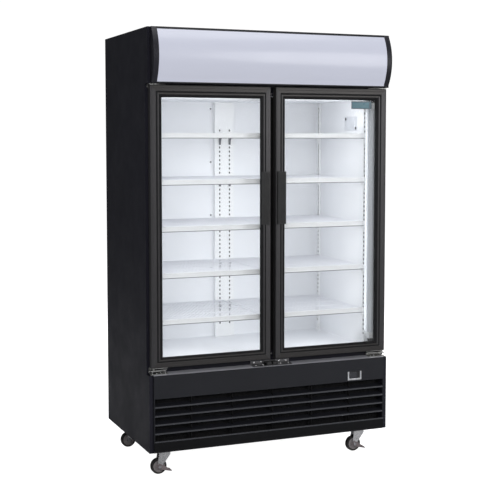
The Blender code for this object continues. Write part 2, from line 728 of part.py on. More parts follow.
def caster_fork(name, x, y):
    """Swivel head with two legs and the axle."""
    top = BASE_BOTTOM - BOSS_DROP - GAP
    yoke_low, yoke_high = top - 0.0125, top - 0.009
    left, right = x - 0.027, x + 0.025
    head = turned(name, [(0.024, top - 0.010), (0.026, top - 0.006), (0.024, top)], (x, y, 0), "Z", 24)
    combine(head, box("yoke", (left, y - 0.0165, yoke_low), (right, y + 0.0165, yoke_high)))
    axle_x = x - CASTER_TRAIL
    foot = [
        (axle_x + 0.011 * math.cos(a), AXLE_Z + 0.011 * math.sin(a))
        for a in [math.radians(150 + 30 * i) for i in range(6)]
    ]
    outline = foot + [
        (right, top - 0.030), (right, yoke_high), (left, yoke_high), (left - 0.003, top - 0.034),
    ]
    inner = WHEEL_HALF + 0.0015
    for start, end in ((-inner - 0.0025, -inner), (inner, inner + 0.0025)):
        combine(head, prism("leg", outline, "Y", y + start, y + end))
    ends = [(AXLE_RADIUS, -inner - 0.0045), (AXLE_RADIUS, inner + 0.0045)]
    combine(head, turned("axle", ends, (axle_x, y, AXLE_Z), "Y", 12))
    return coloured(head, "caster_zinc")


def caster_wheel(name, x, y):
    """Moulded wheel with a rounded tread and a dished hub."""
    bore = AXLE_RADIUS + 0.0008
    profile = [
        (bore, -WHEEL_HALF), (0.012, -WHEEL_HALF), (0.014, -WHEEL_HALF + 0.004), (0.026, -WHEEL_HALF + 0.004),
        (0.028, -WHEEL_HALF), (WHEEL_RADIUS - 0.003, -WHEEL_HALF), (WHEEL_RADIUS, -WHEEL_HALF + 0.003),
    ]
    profile += [(radius, -along) for radius, along in reversed(profile)]
    wheel = turned(name, profile, (x - CASTER_TRAIL, y, AXLE_Z), "Y", WHEEL_SIDES, hollow=True)
    return coloured(wheel, "tyre_black")


def brake_pedal(name, x, y):
    """Lever beside the front leg, hung on the axle, with a tread in front of the wheel."""
    axle_x = x - CASTER_TRAIL
    face = y - WHEEL_HALF - 0.0045
    eye = [
        (axle_x + 0.013 * math.cos(a), AXLE_Z + 0.013 * math.sin(a))
        for a in [math.radians(60 + 30 * i) for i in range(8)]
    ]
    tip = axle_x + PEDAL_REACH
    outline = eye + [(tip - 0.008, 0.012), (tip, 0.0105), (tip + 0.001, 0.0150), (tip - 0.012, 0.0240)]
    lever = prism(name, outline, "Y", face - 0.0035, face)
    bore = AXLE_RADIUS + 0.0008
    hole = turned("hole", [(bore, -0.01), (bore, 0.01)], (axle_x, face, AXLE_Z), "Y", 12)
    combine(lever, hole, "DIFFERENCE")
    tread = [(tip - 0.014, 0.0200), (tip - 0.013, 0.0165), (tip, 0.0105), (tip + 0.001, 0.0150)]
    combine(lever, prism("tread", tread, "Y", face - 0.002, y + WHEEL_HALF + 0.004))
    return coloured(lever, "pedal_grey")


def caster(end, side, sign):
    name = end + "_" + side
    x = sign * CASTER_X
    y = CASTER_Y[0] if end == "front" else CASTER_Y[1]
    swivel = pivot("caster_axis_" + name, (x, y, BASE_BOTTOM))
    axle = pivot("axle_axis_" + name, (x - CASTER_TRAIL, y, AXLE_Z))
    axle.parent = swivel
    axle.location = Vector((-CASTER_TRAIL, 0, AXLE_Z - BASE_BOTTOM))
    place(caster_fork("caster_fork_" + name, x, y), (x, y, BASE_BOTTOM), swivel)
    hub = (x - CASTER_TRAIL, y, AXLE_Z)
    hang(caster_wheel("caster_wheel_" + name, x, y), hub, axle)
    if end == "front":
        hang(brake_pedal("brake_pedal_" + name, x, y), hub, axle)


def hang(obj, point, parent):
    """Puts the origin on a joint's axis, where the parent empty already is."""
    obj.data.transform(Matrix.Translation(-Vector(point)))
    obj.parent = parent
    return obj


# Assembly

def build_cabinet():
    pieces = [back_panel(), top_panel(), floor_panel(), inner_liner(), centre_mullion()]
    pieces += [side_panel(side, sign) for side, sign in SIDES]
    return pieces


def build_chilled_space():
    pieces = [evaporator_cover(), evaporator_coil(), centre_pilaster()]
    for side, sign in SIDES:
        pieces.append(wall_pilaster("front", FRONT + 0.095, side, sign, CEILING - GAP))
        pieces.append(wall_pilaster("rear", FRONT + 0.600, side, sign, TRAY_BOTTOM - GAP))
        pieces.append(led_strip(side, sign))
        pieces += [shelf(side, sign, level + 1) for level in range(SHELVES)]
    return pieces


def build_base():
    return [base_frame(), louvre_grille(), controller(), condenser_coil(), compressor()]


def build_canopy():
    pieces = [canopy_housing(), canopy_light_panel(), canopy_light_tube()]
    return pieces + [canopy_end_cap(side, sign) for side, sign in SIDES]


def build_doors():
    for side, sign in SIDES:
        axis = (sign * (DOOR_OUTER - PIN_INSET), FRONT + PIN_DEPTH, DOOR_BOTTOM)
        swing = pivot("door_axis_" + side, axis)
        for piece in (door_frame, door_glass, door_gasket, door_handle):
            hang(piece(side, sign), axis, swing)
        for end in ("bottom", "top"):
            place_centre(hinge(end, side, sign))


def main():
    for obj in list(bpy.data.objects):
        bpy.data.objects.remove(obj)
    for piece in build_cabinet() + build_chilled_space() + build_base() + build_canopy():
        place_centre(piece)
    upper = fan("evaporator_fan", EVAPORATOR_FAN, EVAPORATOR_FAN_RADIUS, 0.024, 5, upright=True)
    place(upper, EVAPORATOR_FAN)
    place(fan("condenser_fan", CONDENSER_FAN, 0.115, 0.040, 5), CONDENSER_FAN)
    build_doors()
    for end in ("front", "rear"):
        for side, sign in SIDES:
            caster(end, side, sign)


main()
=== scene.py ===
"""Looks of the glass door merchandiser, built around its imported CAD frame.

Metres, +Z up, X from left to right, -Y to the front. Every piece is made where it stands, so its
object coordinates are the cabinet's own at rest.
"""
import json
import math

import bmesh
import bpy
from mathutils import Matrix, Vector

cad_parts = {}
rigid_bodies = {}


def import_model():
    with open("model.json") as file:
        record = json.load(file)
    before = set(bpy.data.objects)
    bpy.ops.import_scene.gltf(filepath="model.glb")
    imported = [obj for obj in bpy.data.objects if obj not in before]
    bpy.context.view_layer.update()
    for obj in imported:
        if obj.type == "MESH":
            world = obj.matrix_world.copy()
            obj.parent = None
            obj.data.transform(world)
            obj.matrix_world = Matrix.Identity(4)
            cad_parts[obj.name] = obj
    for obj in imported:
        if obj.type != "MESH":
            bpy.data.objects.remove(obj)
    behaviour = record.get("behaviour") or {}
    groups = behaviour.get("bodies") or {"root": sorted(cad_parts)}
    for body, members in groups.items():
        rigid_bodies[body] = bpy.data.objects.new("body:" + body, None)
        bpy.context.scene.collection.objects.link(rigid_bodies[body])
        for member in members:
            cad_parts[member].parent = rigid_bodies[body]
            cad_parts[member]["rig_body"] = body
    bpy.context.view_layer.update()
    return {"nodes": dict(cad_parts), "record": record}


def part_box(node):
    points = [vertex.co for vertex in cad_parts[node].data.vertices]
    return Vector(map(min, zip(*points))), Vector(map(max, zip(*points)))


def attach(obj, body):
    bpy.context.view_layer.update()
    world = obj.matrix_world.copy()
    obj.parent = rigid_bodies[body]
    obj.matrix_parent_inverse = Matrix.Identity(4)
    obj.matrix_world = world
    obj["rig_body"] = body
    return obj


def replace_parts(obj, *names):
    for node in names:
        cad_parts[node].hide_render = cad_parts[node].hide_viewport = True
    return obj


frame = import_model()

SIDES = (("left", -1), ("right", 1))
CORNERS = [(end, side, sign) for end in ("front", "rear") for side, sign in SIDES]
SLOT_OF = {part["node"]: part["material_slot"] for part in frame["record"]["subparts"]}

# Planes of the cabinet, from the frame
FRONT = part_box("door_frame_left")[0].y
BODY_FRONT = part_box("floor_panel")[0].y
BACK_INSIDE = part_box("rear_centre_pilaster")[1].y
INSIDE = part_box("pilaster_front_right")[1].x
FASCIA_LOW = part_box("louvre_grille")[0]
LEDGE_FRONT = 0.476  # height of the fascia's top edge
LEDGE_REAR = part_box("louvre_grille")[1].z
VENT_BOTTOM, VENT_TOP = 0.175, 0.37

# Camera
CAMERA_SPOT = (-2.0612, -5.0004, 1.5216)
CAMERA_YAW = 22.56
CAMERA_PITCH = 4.1
CAMERA_LENS = 80.25
CAMERA_SHIFT = -0.06

# Lamps that spread the strip lights' glow, in watts
BAY_MIDDLE = 0.27
BAY_LIGHT_WIDTH = 0.46
BAY_POWER = {"left": 1.68, "right": 1.54}
BAND_POWER = 0.52
TOP_POWER = 0.3

# Doors: distances from the edge of the frame and behind its front
DOOR_THICK = 0.033
GROOVE = (0.023, 0.029)
GROOVE_DEPTH = 0.0042
BEAD = (0.0362, 0.047)
REBATE = 0.039
LIP_DEPTH = 0.009
PANE = 0.0032
MITRE = 0.00012
PIN_SPOT = {side: sign * 0.576 for side, sign in SIDES}
PIN_BACK = FRONT + 0.014
PIN_HOLE = 0.0062

# Shelf strips
SLOT_PITCH = 0.0214
SLOT_HEIGHT = 0.01
SLOT_WIDTH = 0.0062
WALL_SLOT_WIDTH = 0.012
CLIP_DROP = 0.056  # from a shelf's top to the lower end of its clips
STRIP_X = 0.0265  # from the middle of the back to its strips

CASTER_TRAIL = 0.028  # from a caster's axle to its swivel axis


# Material nodes

class Finish:
    """One Principled material, with short calls for its texture nodes."""

    def __init__(self, name, colour, roughness, metallic=0.0, **sockets):
        self.material = bpy.data.materials.new(name)
        self.material.use_nodes = True
        self.tree = self.material.node_tree
        self.shader = self.tree.nodes["Principled BSDF"]
        self.shader.inputs["Metallic"].default_value = metallic
        for socket, value in sockets.items():
            self.shader.inputs[socket.replace("_", " ")].default_value = value
        self.colour = (*colour, 1.0)
        self.roughness = roughness
        self.where = self.node("ShaderNodeTexCoord").outputs["Object"]

    def node(self, kind, feeds=(), **settings):
        """A new node. feeds holds (socket, value) pairs, and settings its other properties."""
        node = self.tree.nodes.new(kind)
        for name, value in settings.items():
            setattr(node, name, value)
        for socket, value in feeds:
            self.feed(node.inputs[socket], value)
        return node

    def feed(self, socket, value):
        if isinstance(value, bpy.types.NodeSocket):
            self.tree.links.new(value, socket)
        else:
            socket.default_value = value

    def math(self, operation, first, second):
        return self.node("ShaderNodeMath", enumerate((first, second)), operation=operation).outputs[0]

    def remap(self, value, start, end, low=0.0, high=1.0):
        feeds = enumerate((value, start, end, low, high))
        return self.node("ShaderNodeMapRange", feeds).outputs["Result"]

    def mix(self, factor, first, second):
        feeds = ((0, factor), (6, first), (7, second))
        return self.node("ShaderNodeMix", feeds, data_type="RGBA").outputs[2]

    def noise(self, scale, detail=2.0, stretch=(1, 1, 1)):
        """Noise with about scale features to the metre, times stretch along each axis."""
        where = self.node("ShaderNodeVectorMath", enumerate((self.where, stretch)), operation="MULTIPLY")
        feeds = (("Vector", where.outputs[0]), ("Scale", scale), ("Detail", detail))
        return self.node("ShaderNodeTexNoise", feeds).outputs["Fac"]

    def cells(self, scale):
        feeds = (("Vector", self.where), ("Scale", scale))
        return self.node("ShaderNodeTexVoronoi", feeds).outputs["Color"]

    def mottle(self, amount, pattern):
        """Varies the colour by a share of itself."""
        dark = (*(c * (1 - amount) for c in self.colour[:3]), 1.0)
        light = (*(min(1.0, c * (1 + amount)) for c in self.colour[:3]), 1.0)
        self.colour = self.mix(self.remap(pattern, 0.3, 0.7), dark, light)
        return self

    def vary_gloss(self, amount, pattern):
        self.roughness = self.remap(pattern, 0.3, 0.7, self.roughness - amount, self.roughness + amount)
        return self

    def wear(self, tone, radius, low=0.46, high=0.62):
        """Rubbed paint, in patches along the edges."""
        round_normal = self.node("ShaderNodeBevel", [("Radius", radius)], samples=4).outputs[0]
        flat_normal = self.node("ShaderNodeNewGeometry").outputs["True Normal"]
        normals = enumerate((round_normal, flat_normal))
        facing = self.node("ShaderNodeVectorMath", normals, operation="DOT_PRODUCT")
        edge = self.remap(facing.outputs["Value"], 0.8, 0.985, 1.0, 0.0)
        patch = self.remap(self.noise(38, 4.0), low, high)
        self.colour = self.mix(self.math("MULTIPLY", edge, patch), self.colour, (*tone, 1.0))
        return self

    def dust(self, tone, height, amount):
        """Pale dust that thins out above a height."""
        split = self.node("ShaderNodeSeparateXYZ", [(0, self.where)])
        low = self.remap(split.outputs["Z"], 0.0, height, amount, 0.0)
        patch = self.remap(self.noise(30, 5.0), 0.35, 0.75)
        self.colour = self.mix(self.math("MULTIPLY", low, patch), self.colour, (*tone, 1.0))
        return self

    def bump(self, height, distance, strength=1.0):
        feeds = (("Strength", strength), ("Distance", distance), ("Height", height))
        node = self.node("ShaderNodeBump", feeds)
        before = self.shader.inputs["Normal"]
        if before.is_linked:
            self.feed(node.inputs["Normal"], before.links[0].from_socket)
        self.feed(before, node.outputs["Normal"])
        return self

    def done(self):
        self.feed(self.shader.inputs["Base Color"], self.colour)
        self.feed(self.shader.inputs["Roughness"], self.roughness)
        return self.material


def painted(name, colour, roughness, specular=0.35, wear=None):
    """Satin paint on sheet steel: faint orange peel, uneven gloss, rubbed edges."""
    look = Finish(name, colour, roughness, Specular_IOR_Level=specular)
    look.mottle(0.1, look.noise(2.5, 3.0))
    look.vary_gloss(0.05, look.noise(9, 4.0))
    if wear:
        look.wear(wear, 0.0011)
    look.bump(look.noise(700, 1.0), 0.00006)
    look.bump(look.noise(3.0, 1.0), 0.0012, 0.35)
    return look.done()


def anodised(name, colour, along):
    """Dark anodised extrusion with fine die lines along X or Z."""
    stretch = (0.006, 1, 1) if along == "X" else (1, 1, 0.006)
    look = Finish(name, colour, 0.42, 0.55, Specular_IOR_Level=0.4)
    lines = look.noise(1400, 2.0, stretch)
    look.mottle(0.07, lines)
    look.vary_gloss(0.05, look.noise(700, 2.0, stretch))
    look.wear((0.16, 0.155, 0.15), 0.0009, 0.5, 0.66)
    look.bump(lines, 0.00002)
    return look.done()


def coated_white(name, colour, roughness, ripple=0.0008, specular=0.4):
    """White coated steel or plastic, a little uneven in tone and gloss."""
    look = Finish(name, colour, roughness, Specular_IOR_Level=specular)
    look.mottle(0.022, look.noise(4, 4.0))
    look.vary_gloss(0.06, look.noise(14, 3.0))
    look.bump(look.noise(420, 2.0), 0.00004)
    look.bump(look.noise(5, 1.0), ripple, 0.3)
    return look.done()


def zinc(name, colour, roughness):
    """Plated steel with a faint crystal pattern, grime and scratches."""
    look = Finish(name, colour, roughness, 1.0)
    look.mottle(0.14, look.cells(260))
    look.vary_gloss(0.09, look.noise(120, 4.0))
    look.bump(look.noise(900, 3.0, (1, 0.08, 1)), 0.00005)
    return look.done()


def rubber(name, colour, roughness=0.72, dusty=0.0):
    look = Finish(name, colour, roughness, Specular_IOR_Level=0.3)
    look.mottle(0.22, look.noise(60, 4.0))
    if dusty:
        look.dust((0.2, 0.185, 0.17), 0.05, dusty)
    look.vary_gloss(0.08, look.noise(40, 4.0))
    look.bump(look.noise(1500, 3.0), 0.0001)
    return look.done()


def moulded(name, colour, roughness, specular=0.4, grain=0.00008):
    """Moulded plastic with a fine spark-eroded grain."""
    look = Finish(name, colour, roughness, Specular_IOR_Level=specular)
    look.mottle(0.1, look.noise(12, 3.0))
    look.vary_gloss(0.05, look.noise(30, 3.0))
    look.bump(look.noise(1800, 2.0), grain)
    return look.done()


def acrylic(name, colour):
    """Milky sheet of the light box: soft tone drift under a glossy skin, and a glow that is the box's own
    light and also evens out its shading as painted light.
    """
    # The emission lights the sheet as a lit light box and also lifts its darker lower half, as painted light.
    look = Finish(name, colour, 0.34, Specular_IOR_Level=0.35, Coat_Weight=0.25, Coat_Roughness=0.12,
                  Emission_Color=(0.6, 0.62, 0.72, 1.0), Emission_Strength=0.57)
    look.mottle(0.03, look.noise(1.6, 2.0))
    look.vary_gloss(0.04, look.noise(7, 3.0))
    look.bump(look.noise(2.2, 1.0), 0.0008, 0.3)
    return look.done()


def glowing(name, colour, strength):
    look = Finish(name, colour, 0.5, Emission_Color=(*colour, 1.0), Emission_Strength=strength)
    look.mottle(0.03, look.noise(60, 1.0, (1, 1, 0.2)))
    look.bump(look.noise(500, 1.0), 0.00005)
    return look.done()


def glass(name, tint, roughness=0.02):
    """Clear pane: the light goes straight through, and both faces mirror more at a glance."""
    look = Finish(name, tint, roughness)
    clear = look.node("ShaderNodeBsdfTransparent", [("Color", (*tint, 1.0))])
    facing = look.node("ShaderNodeLayerWeight", [("Blend", 0.5)]).outputs["Facing"]
    glance = look.math("MULTIPLY", look.math("POWER", facing, 5.0), 0.85)
    smear = look.remap(look.noise(6, 4.0), 0.35, 0.75, 0.014, 0.024)
    feeds = enumerate((look.math("ADD", glance, smear), clear.outputs[0], look.shader.outputs[0]))
    mixer = look.node("ShaderNodeMixShader", feeds)
    look.feed(look.tree.nodes["Material Output"].inputs["Surface"], mixer.outputs[0])
    return look.done()


PAINT_WEAR = (0.075, 0.075, 0.08)
LOOKS = {
    "black_sheet": (painted, (0.012, 0.012, 0.0195), 0.5, 0.18, PAINT_WEAR),
    "chassis_black": (painted, (0.016, 0.016, 0.019), 0.5, 0.25),
    "fascia_black": (painted, (0.015, 0.0158, 0.02), 0.4, 0.25, PAINT_WEAR),
    # Light grey on the ledge's top faces, as a painted highlight where light falls on them.
    "ledge_black": (painted, (0.34, 0.342, 0.375), 0.34, 0.4),
    # Near-black behind the slots, as painted shade.
    "slot_shade": (moulded, (0.005, 0.0052, 0.006), 0.8, 0.1),
    # Near-black for the combs and the filter; the filter's solid sheet behind the slats is painted shade.
    "filter_black": (rubber, (0.0045, 0.0045, 0.0055), 0.85),
    # Near-black for the fascia's lower front, as painted shade.
    "skirt_black": (painted, (0.005, 0.0052, 0.0062), 0.5, 0.14),
    # The slats' front lips are painted lighter, as a highlight.
    "slat_lip": (painted, (0.05, 0.052, 0.06), 0.36, 0.4),
    "canopy_black": (painted, (0.012, 0.012, 0.015), 0.34, 0.35, PAINT_WEAR),
    "cap_black": (moulded, (0.013, 0.013, 0.018), 0.42, 0.25),
    "mullion_black": (painted, (0.0065, 0.006, 0.0062), 0.55, 0.15),
    # The stiles' copy of the anodised metal is painted lighter than the rails', as the light that falls on
    # them.
    "stile": (anodised, (0.054, 0.0525, 0.055), "Z"),
    "rail": (anodised, (0.046, 0.0435, 0.043), "X"),
    "liner_white": (coated_white, (0.84, 0.855, 0.885), 0.4),
    "shelf_white": (coated_white, (0.78, 0.79, 0.83), 0.34, 0.0002),
    "band_white": (coated_white, (0.91, 0.915, 0.925), 0.3, 0.0002),
    "strip_steel": (coated_white, (0.88, 0.89, 0.9), 0.32, 0.0002),
    "cover_white": (coated_white, (0.78, 0.795, 0.83), 0.42),
    "clip_steel": (zinc, (0.14, 0.145, 0.16), 0.46),
    "screw_steel": (zinc, (0.42, 0.42, 0.44), 0.35),
    # Near-white screw heads, as painted glints.
    "screw_bright": (zinc, (0.86, 0.86, 0.87), 0.26),
    "stop_zinc": (zinc, (0.15, 0.15, 0.155), 0.4),
    "screw_dark": (zinc, (0.06, 0.06, 0.065), 0.4),
    "fin_aluminium": (zinc, (0.58, 0.59, 0.6), 0.36),
    "copper": (zinc, (0.62, 0.3, 0.18), 0.34),
    "fan_black": (moulded, (0.018, 0.018, 0.019), 0.46),
    "led_housing": (coated_white, (0.66, 0.68, 0.71), 0.36, 0.0002),
    "cap_white": (moulded, (0.9, 0.91, 0.92), 0.4),
    "led_diffuser": (glowing, (0.95, 0.97, 1.0), 4.0),
    "light_tube": (glowing, (0.92, 0.94, 1.0), 0.6),
    "sign_acrylic": (acrylic, (0.225, 0.232, 0.275)),
    "door_glass": (glass, (0.99, 0.994, 0.996)),
    "spacer_black": (rubber, (0.005, 0.005, 0.0055), 0.55),
    # Dark strip under each price band, as its painted shadow line.
    "band_edge": (coated_white, (0.2, 0.205, 0.22), 0.45, 0.0002),
    "bead_black": (rubber, (0.0032, 0.0032, 0.004), 0.7),
    "gasket_black": (rubber, (0.012, 0.012, 0.013)),
    "grip_black": (moulded, (0.0245, 0.0245, 0.025), 0.5, 0.35, 0.00014),
    "hinge_zinc": (zinc, (0.36, 0.36, 0.35), 0.42),
    "caster_zinc": (zinc, (0.58, 0.58, 0.59), 0.27),
    "wheel_black": (rubber, (0.019, 0.018, 0.018), 0.62, 0.55),
    "hub_grey": (moulded, (0.27, 0.245, 0.25), 0.44),
    "pedal_grey": (moulded, (0.215, 0.18, 0.185), 0.46),
    "display_black": (moulded, (0.01, 0.011, 0.013), 0.3),
    "display_lens": (moulded, (0.018, 0.02, 0.026), 0.08, 0.6, 0.0),
    "bright_trim": (zinc, (0.66, 0.67, 0.69), 0.34),
    "compressor_black": (painted, (0.017, 0.017, 0.019), 0.36, 0.4),
    "teal": (moulded, (0.036, 0.135, 0.175), 0.3, 0.4, 0.00002),
    "teal_edge": (moulded, (0.045, 0.085, 0.11), 0.34, 0.4, 0.00002),
    "plate_grey": (moulded, (0.72, 0.74, 0.78), 0.45, 0.3),
}
MATERIALS = {name: make(name, *settings) for name, (make, *settings) in LOOKS.items()}
MATERIALS["door_aluminium"] = MATERIALS["stile"]
MATERIALS["light_diffuser"] = MATERIALS["led_diffuser"]


# Mesh helpers

CREASE = 32  # degrees between two faces that makes their edge sharp
AXES = {"X": (1, 2, 0), "Y": (2, 0, 1), "Z": (0, 1, 2)}


def link_mesh(name, bm):
    """A new object of the scene that takes over the bmesh."""
    mesh = bpy.data.meshes.new(name)
    bm.to_mesh(mesh)
    bm.free()
    obj = bpy.data.objects.new(name, mesh)
    bpy.context.scene.collection.objects.link(obj)
    return obj


def smooth(obj, crease):
    """Smooth shading, except across edges sharper than crease degrees."""
    obj.data.shade_smooth()
    obj.data.set_sharp_from_angle(angle=math.radians(crease))


def piece(name, bm, looks, body="cabinet", slot=None, bevel=0.0, segments=2, crease=CREASE):
    """Makes a named piece from a bmesh. looks is one material name or several, by face index."""
    bmesh.ops.recalc_face_normals(bm, faces=bm.faces)
    obj = link_mesh(name, bm)
    looks = [looks] if isinstance(looks, str) else looks
    for look in looks:
        obj.data.materials.append(MATERIALS[look])
    smooth(obj, crease)
    if bevel:
        modifier = obj.modifiers.new("Bevel", "BEVEL")
        modifier.width = bevel
        modifier.segments = segments
        modifier.limit_method = "ANGLE"
        modifier.angle_limit = math.radians(crease)
        modifier.harden_normals = True
    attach(obj, body)
    return obj


def box_piece(name, low, high, *settings, **more):
    """A piece that is one box."""
    bm = bmesh.new()
    add_box(bm, low, high)
    return piece(name, bm, *settings, **more)


def refine(node, looks=None, bevel=0.0012, segments=2, crease=CREASE):
    """A clean copy of a CAD node with rounded edges, which stands for it."""
    bm = bmesh.new()
    bm.from_mesh(frame["nodes"][node].data)
    bmesh.ops.remove_doubles(bm, verts=bm.verts, dist=1e-6)
    bmesh.ops.dissolve_limit(bm, angle_limit=math.radians(0.5), verts=bm.verts, edges=bm.edges)
    for face in bm.faces:
        face.material_index = 0
    slot = SLOT_OF[node]
    body = frame["nodes"][node]["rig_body"]
    obj = piece(node + "_finished", bm, looks or slot, body, slot, bevel, segments, crease)
    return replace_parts(obj, node)


def add_loop(bm, rings, closed=False, caps=True, look=0):
    """Quads between neighbouring rings of points, with flat caps on open ends."""
    rings = [[bm.verts.new(point) for point in ring] for ring in rings]
    faces = []
    pairs = zip(rings, rings[1:] + rings[:1]) if closed else zip(rings, rings[1:])
    for first, second in pairs:
        for i in range(len(first)):
            j = (i + 1) % len(first)
            faces.append(bm.faces.new((first[i], first[j], second[j], second[i])))
    if caps and not closed:
        faces += [bm.faces.new(rings[0]), bm.faces.new(rings[-1])]
    for face in faces:
        face.material_index = look


def add_prism(bm, outline, axis, start, end, look=0):
    """Extrudes a flat outline, whose points hold the other two coordinates in X, Y, Z order."""
    spot = {
        "X": lambda p, along: (along, p[0], p[1]),
        "Y": lambda p, along: (p[0], along, p[1]),
        "Z": lambda p, along: (p[0], p[1], along),
    }[axis]
    add_loop(bm, [[spot(p, along) for p in outline] for along in (start, end)], look=look)


def add_box(bm, corner, opposite, look=0):
    low, high = zip(*(sorted(pair) for pair in zip(corner, opposite)))
    outline = [(low[0], low[1]), (high[0], low[1]), (high[0], high[1]), (low[0], high[1])]
    add_prism(bm, outline, "Z", low[2], high[2], look)


def add_turned(bm, profile, centre, axis, sides=20, closed=False, look=0):
    """Turns (radius, along) points about an axis through centre."""
    first, second, along = AXES[axis]
    rings = []
    for radius, reach in profile:
        ring = []
        for i in range(sides):
            angle = 2 * math.pi * (i + 0.5) / sides
            point = Vector(centre)
            point[first] += radius * math.cos(angle)
            point[second] += radius * math.sin(angle)
            point[along] += reach
            ring.append(point)
        rings.append(ring)
    add_loop(bm, rings, closed, look=look)


def add_tube(bm, points, radius, sides=8, look=0):
    """A round bar that follows the points."""
    points = [Vector(p) for p in points]
    rings = []
    across = (points[1] - points[0]).orthogonal().normalized()
    for i, point in enumerate(points):
        before = (point - points[i - 1]).normalized() if i else None
        after = (points[i + 1] - point).normalized() if i + 1 < len(points) else None
        along = ((before or after) + (after or before)).normalized()
        across = (across - across.dot(along) * along).normalized()
        beside = along.cross(across)
        spread = radius / max(0.5, along.dot(before or after))
        turns = [2 * math.pi * k / sides for k in range(sides)]
        rings.append([point + spread * (math.cos(a) * across + math.sin(a) * beside) for a in turns])
    add_loop(bm, rings, look=look)


def rounded_path(points, radius, steps=4):
    """The points with each inner corner turned into an arc-like curve."""
    points = [Vector(p) for p in points]
    path = [points[0]]
    for before, corner, after in zip(points, points[1:], points[2:]):
        start = corner + (before - corner).normalized() * radius
        end = corner + (after - corner).normalized() * radius
        for k in range(steps + 1):
            t = k / steps
            path.append((1 - t) ** 2 * start + 2 * t * (1 - t) * corner + t * t * end)
    return path + [points[-1]]


def add_screw(bm, centre, axis, radius=0.004, height=0.0018, look=0):
    """Pan head with a socket. height is negative where the head faces down its axis."""
    profile = [
        (radius, 0.0), (radius, 0.35 * height), (0.82 * radius, 0.8 * height), (0.5 * radius, height),
        (0.42 * radius, height), (0.34 * radius, 0.45 * height), (0.1 * radius, 0.4 * height),
    ]
    add_turned(bm, profile, centre, axis, 14, look=look)


def add_pierced(bm, us, vs, holes, spot, look=0):
    """A plate on a grid, open at the (column, row) cells in holes. spot(u, v, back) places a corner."""
    corners = {}

    def vertex(i, j, back):
        if (i, j, back) not in corners:
            corners[i, j, back] = bm.verts.new(spot(us[i], vs[j], back))
        return corners[i, j, back]

    solid = {(i, j) for i in range(len(us) - 1) for j in range(len(vs) - 1)} - set(holes)
    for i, j in sorted(solid):
        around = ((i, j), (i + 1, j), (i + 1, j + 1), (i, j + 1))
        faces = [bm.faces.new([vertex(a, b, back) for a, b in around]) for back in (0, 1)]
        beside = ((i, j - 1), (i + 1, j), (i, j + 1), (i - 1, j))
        for k, cell in enumerate(beside):
            if cell not in solid:
                a, b = around[k], around[(k + 1) % 4]
                faces.append(bm.faces.new([vertex(*a, 0), vertex(*b, 0), vertex(*b, 1), vertex(*a, 1)]))
        for face in faces:
            face.material_index = look


def door_edges(side):
    """Low and high (x, z) corners of a door, and what its sides add to the insets, from its glass."""
    low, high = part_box("door_frame_" + side)
    glass_low, glass_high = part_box("door_glass_" + side)
    insets = [(glass_low[i] - low[i], high[i] - glass_high[i]) for i in (0, 2)]
    least = min(insets[0])
    wider = [(first - least, second - least) for first, second in insets]
    return (low.x, low.z), (high.x, high.z), wider


def add_rim_bars(bm, edges, profile, looks=(0, 0), gap=MITRE, widen=True):
    """Four bars mitred at the corners. The profile holds (inset from the edge, depth behind FRONT)."""
    low, high, wider = edges
    stretch = [[1 + widen * more / REBATE for more in pair] for pair in wider]
    turns = ((0, 0), (1, 0), (1, 1), (0, 1))
    ways = ((1, 0), (0, 1), (-1, 0), (0, -1))
    for k, way in enumerate(ways):
        rings = []
        for (right, up), pull in ((turns[k], gap), (turns[(k + 1) % 4], -gap)):
            ring = []
            for inset, depth in profile:
                across = inset * stretch[0][right]
                along = inset * stretch[1][up]
                x = (high[0] - across if right else low[0] + across) + pull * way[0]
                z = (high[1] - along if up else low[1] + along) + pull * way[1]
                ring.append((x, FRONT + depth, z))
            rings.append(ring)
        add_loop(bm, rings, look=looks[k % 2])


def cut(obj, bm):
    """Takes the closed shape in bm out of a piece."""
    bmesh.ops.recalc_face_normals(bm, faces=bm.faces)
    tool = link_mesh("cutter", bm)
    modifier = obj.modifiers.new("Cut", "BOOLEAN")
    modifier.operation = "DIFFERENCE"
    modifier.solver = "EXACT"
    modifier.object = tool
    result = bpy.data.meshes.new_from_object(obj.evaluated_get(bpy.context.evaluated_depsgraph_get()))
    obj.modifiers.clear()
    obj.data = result
    bpy.data.objects.remove(tool)
    return obj


# Stage

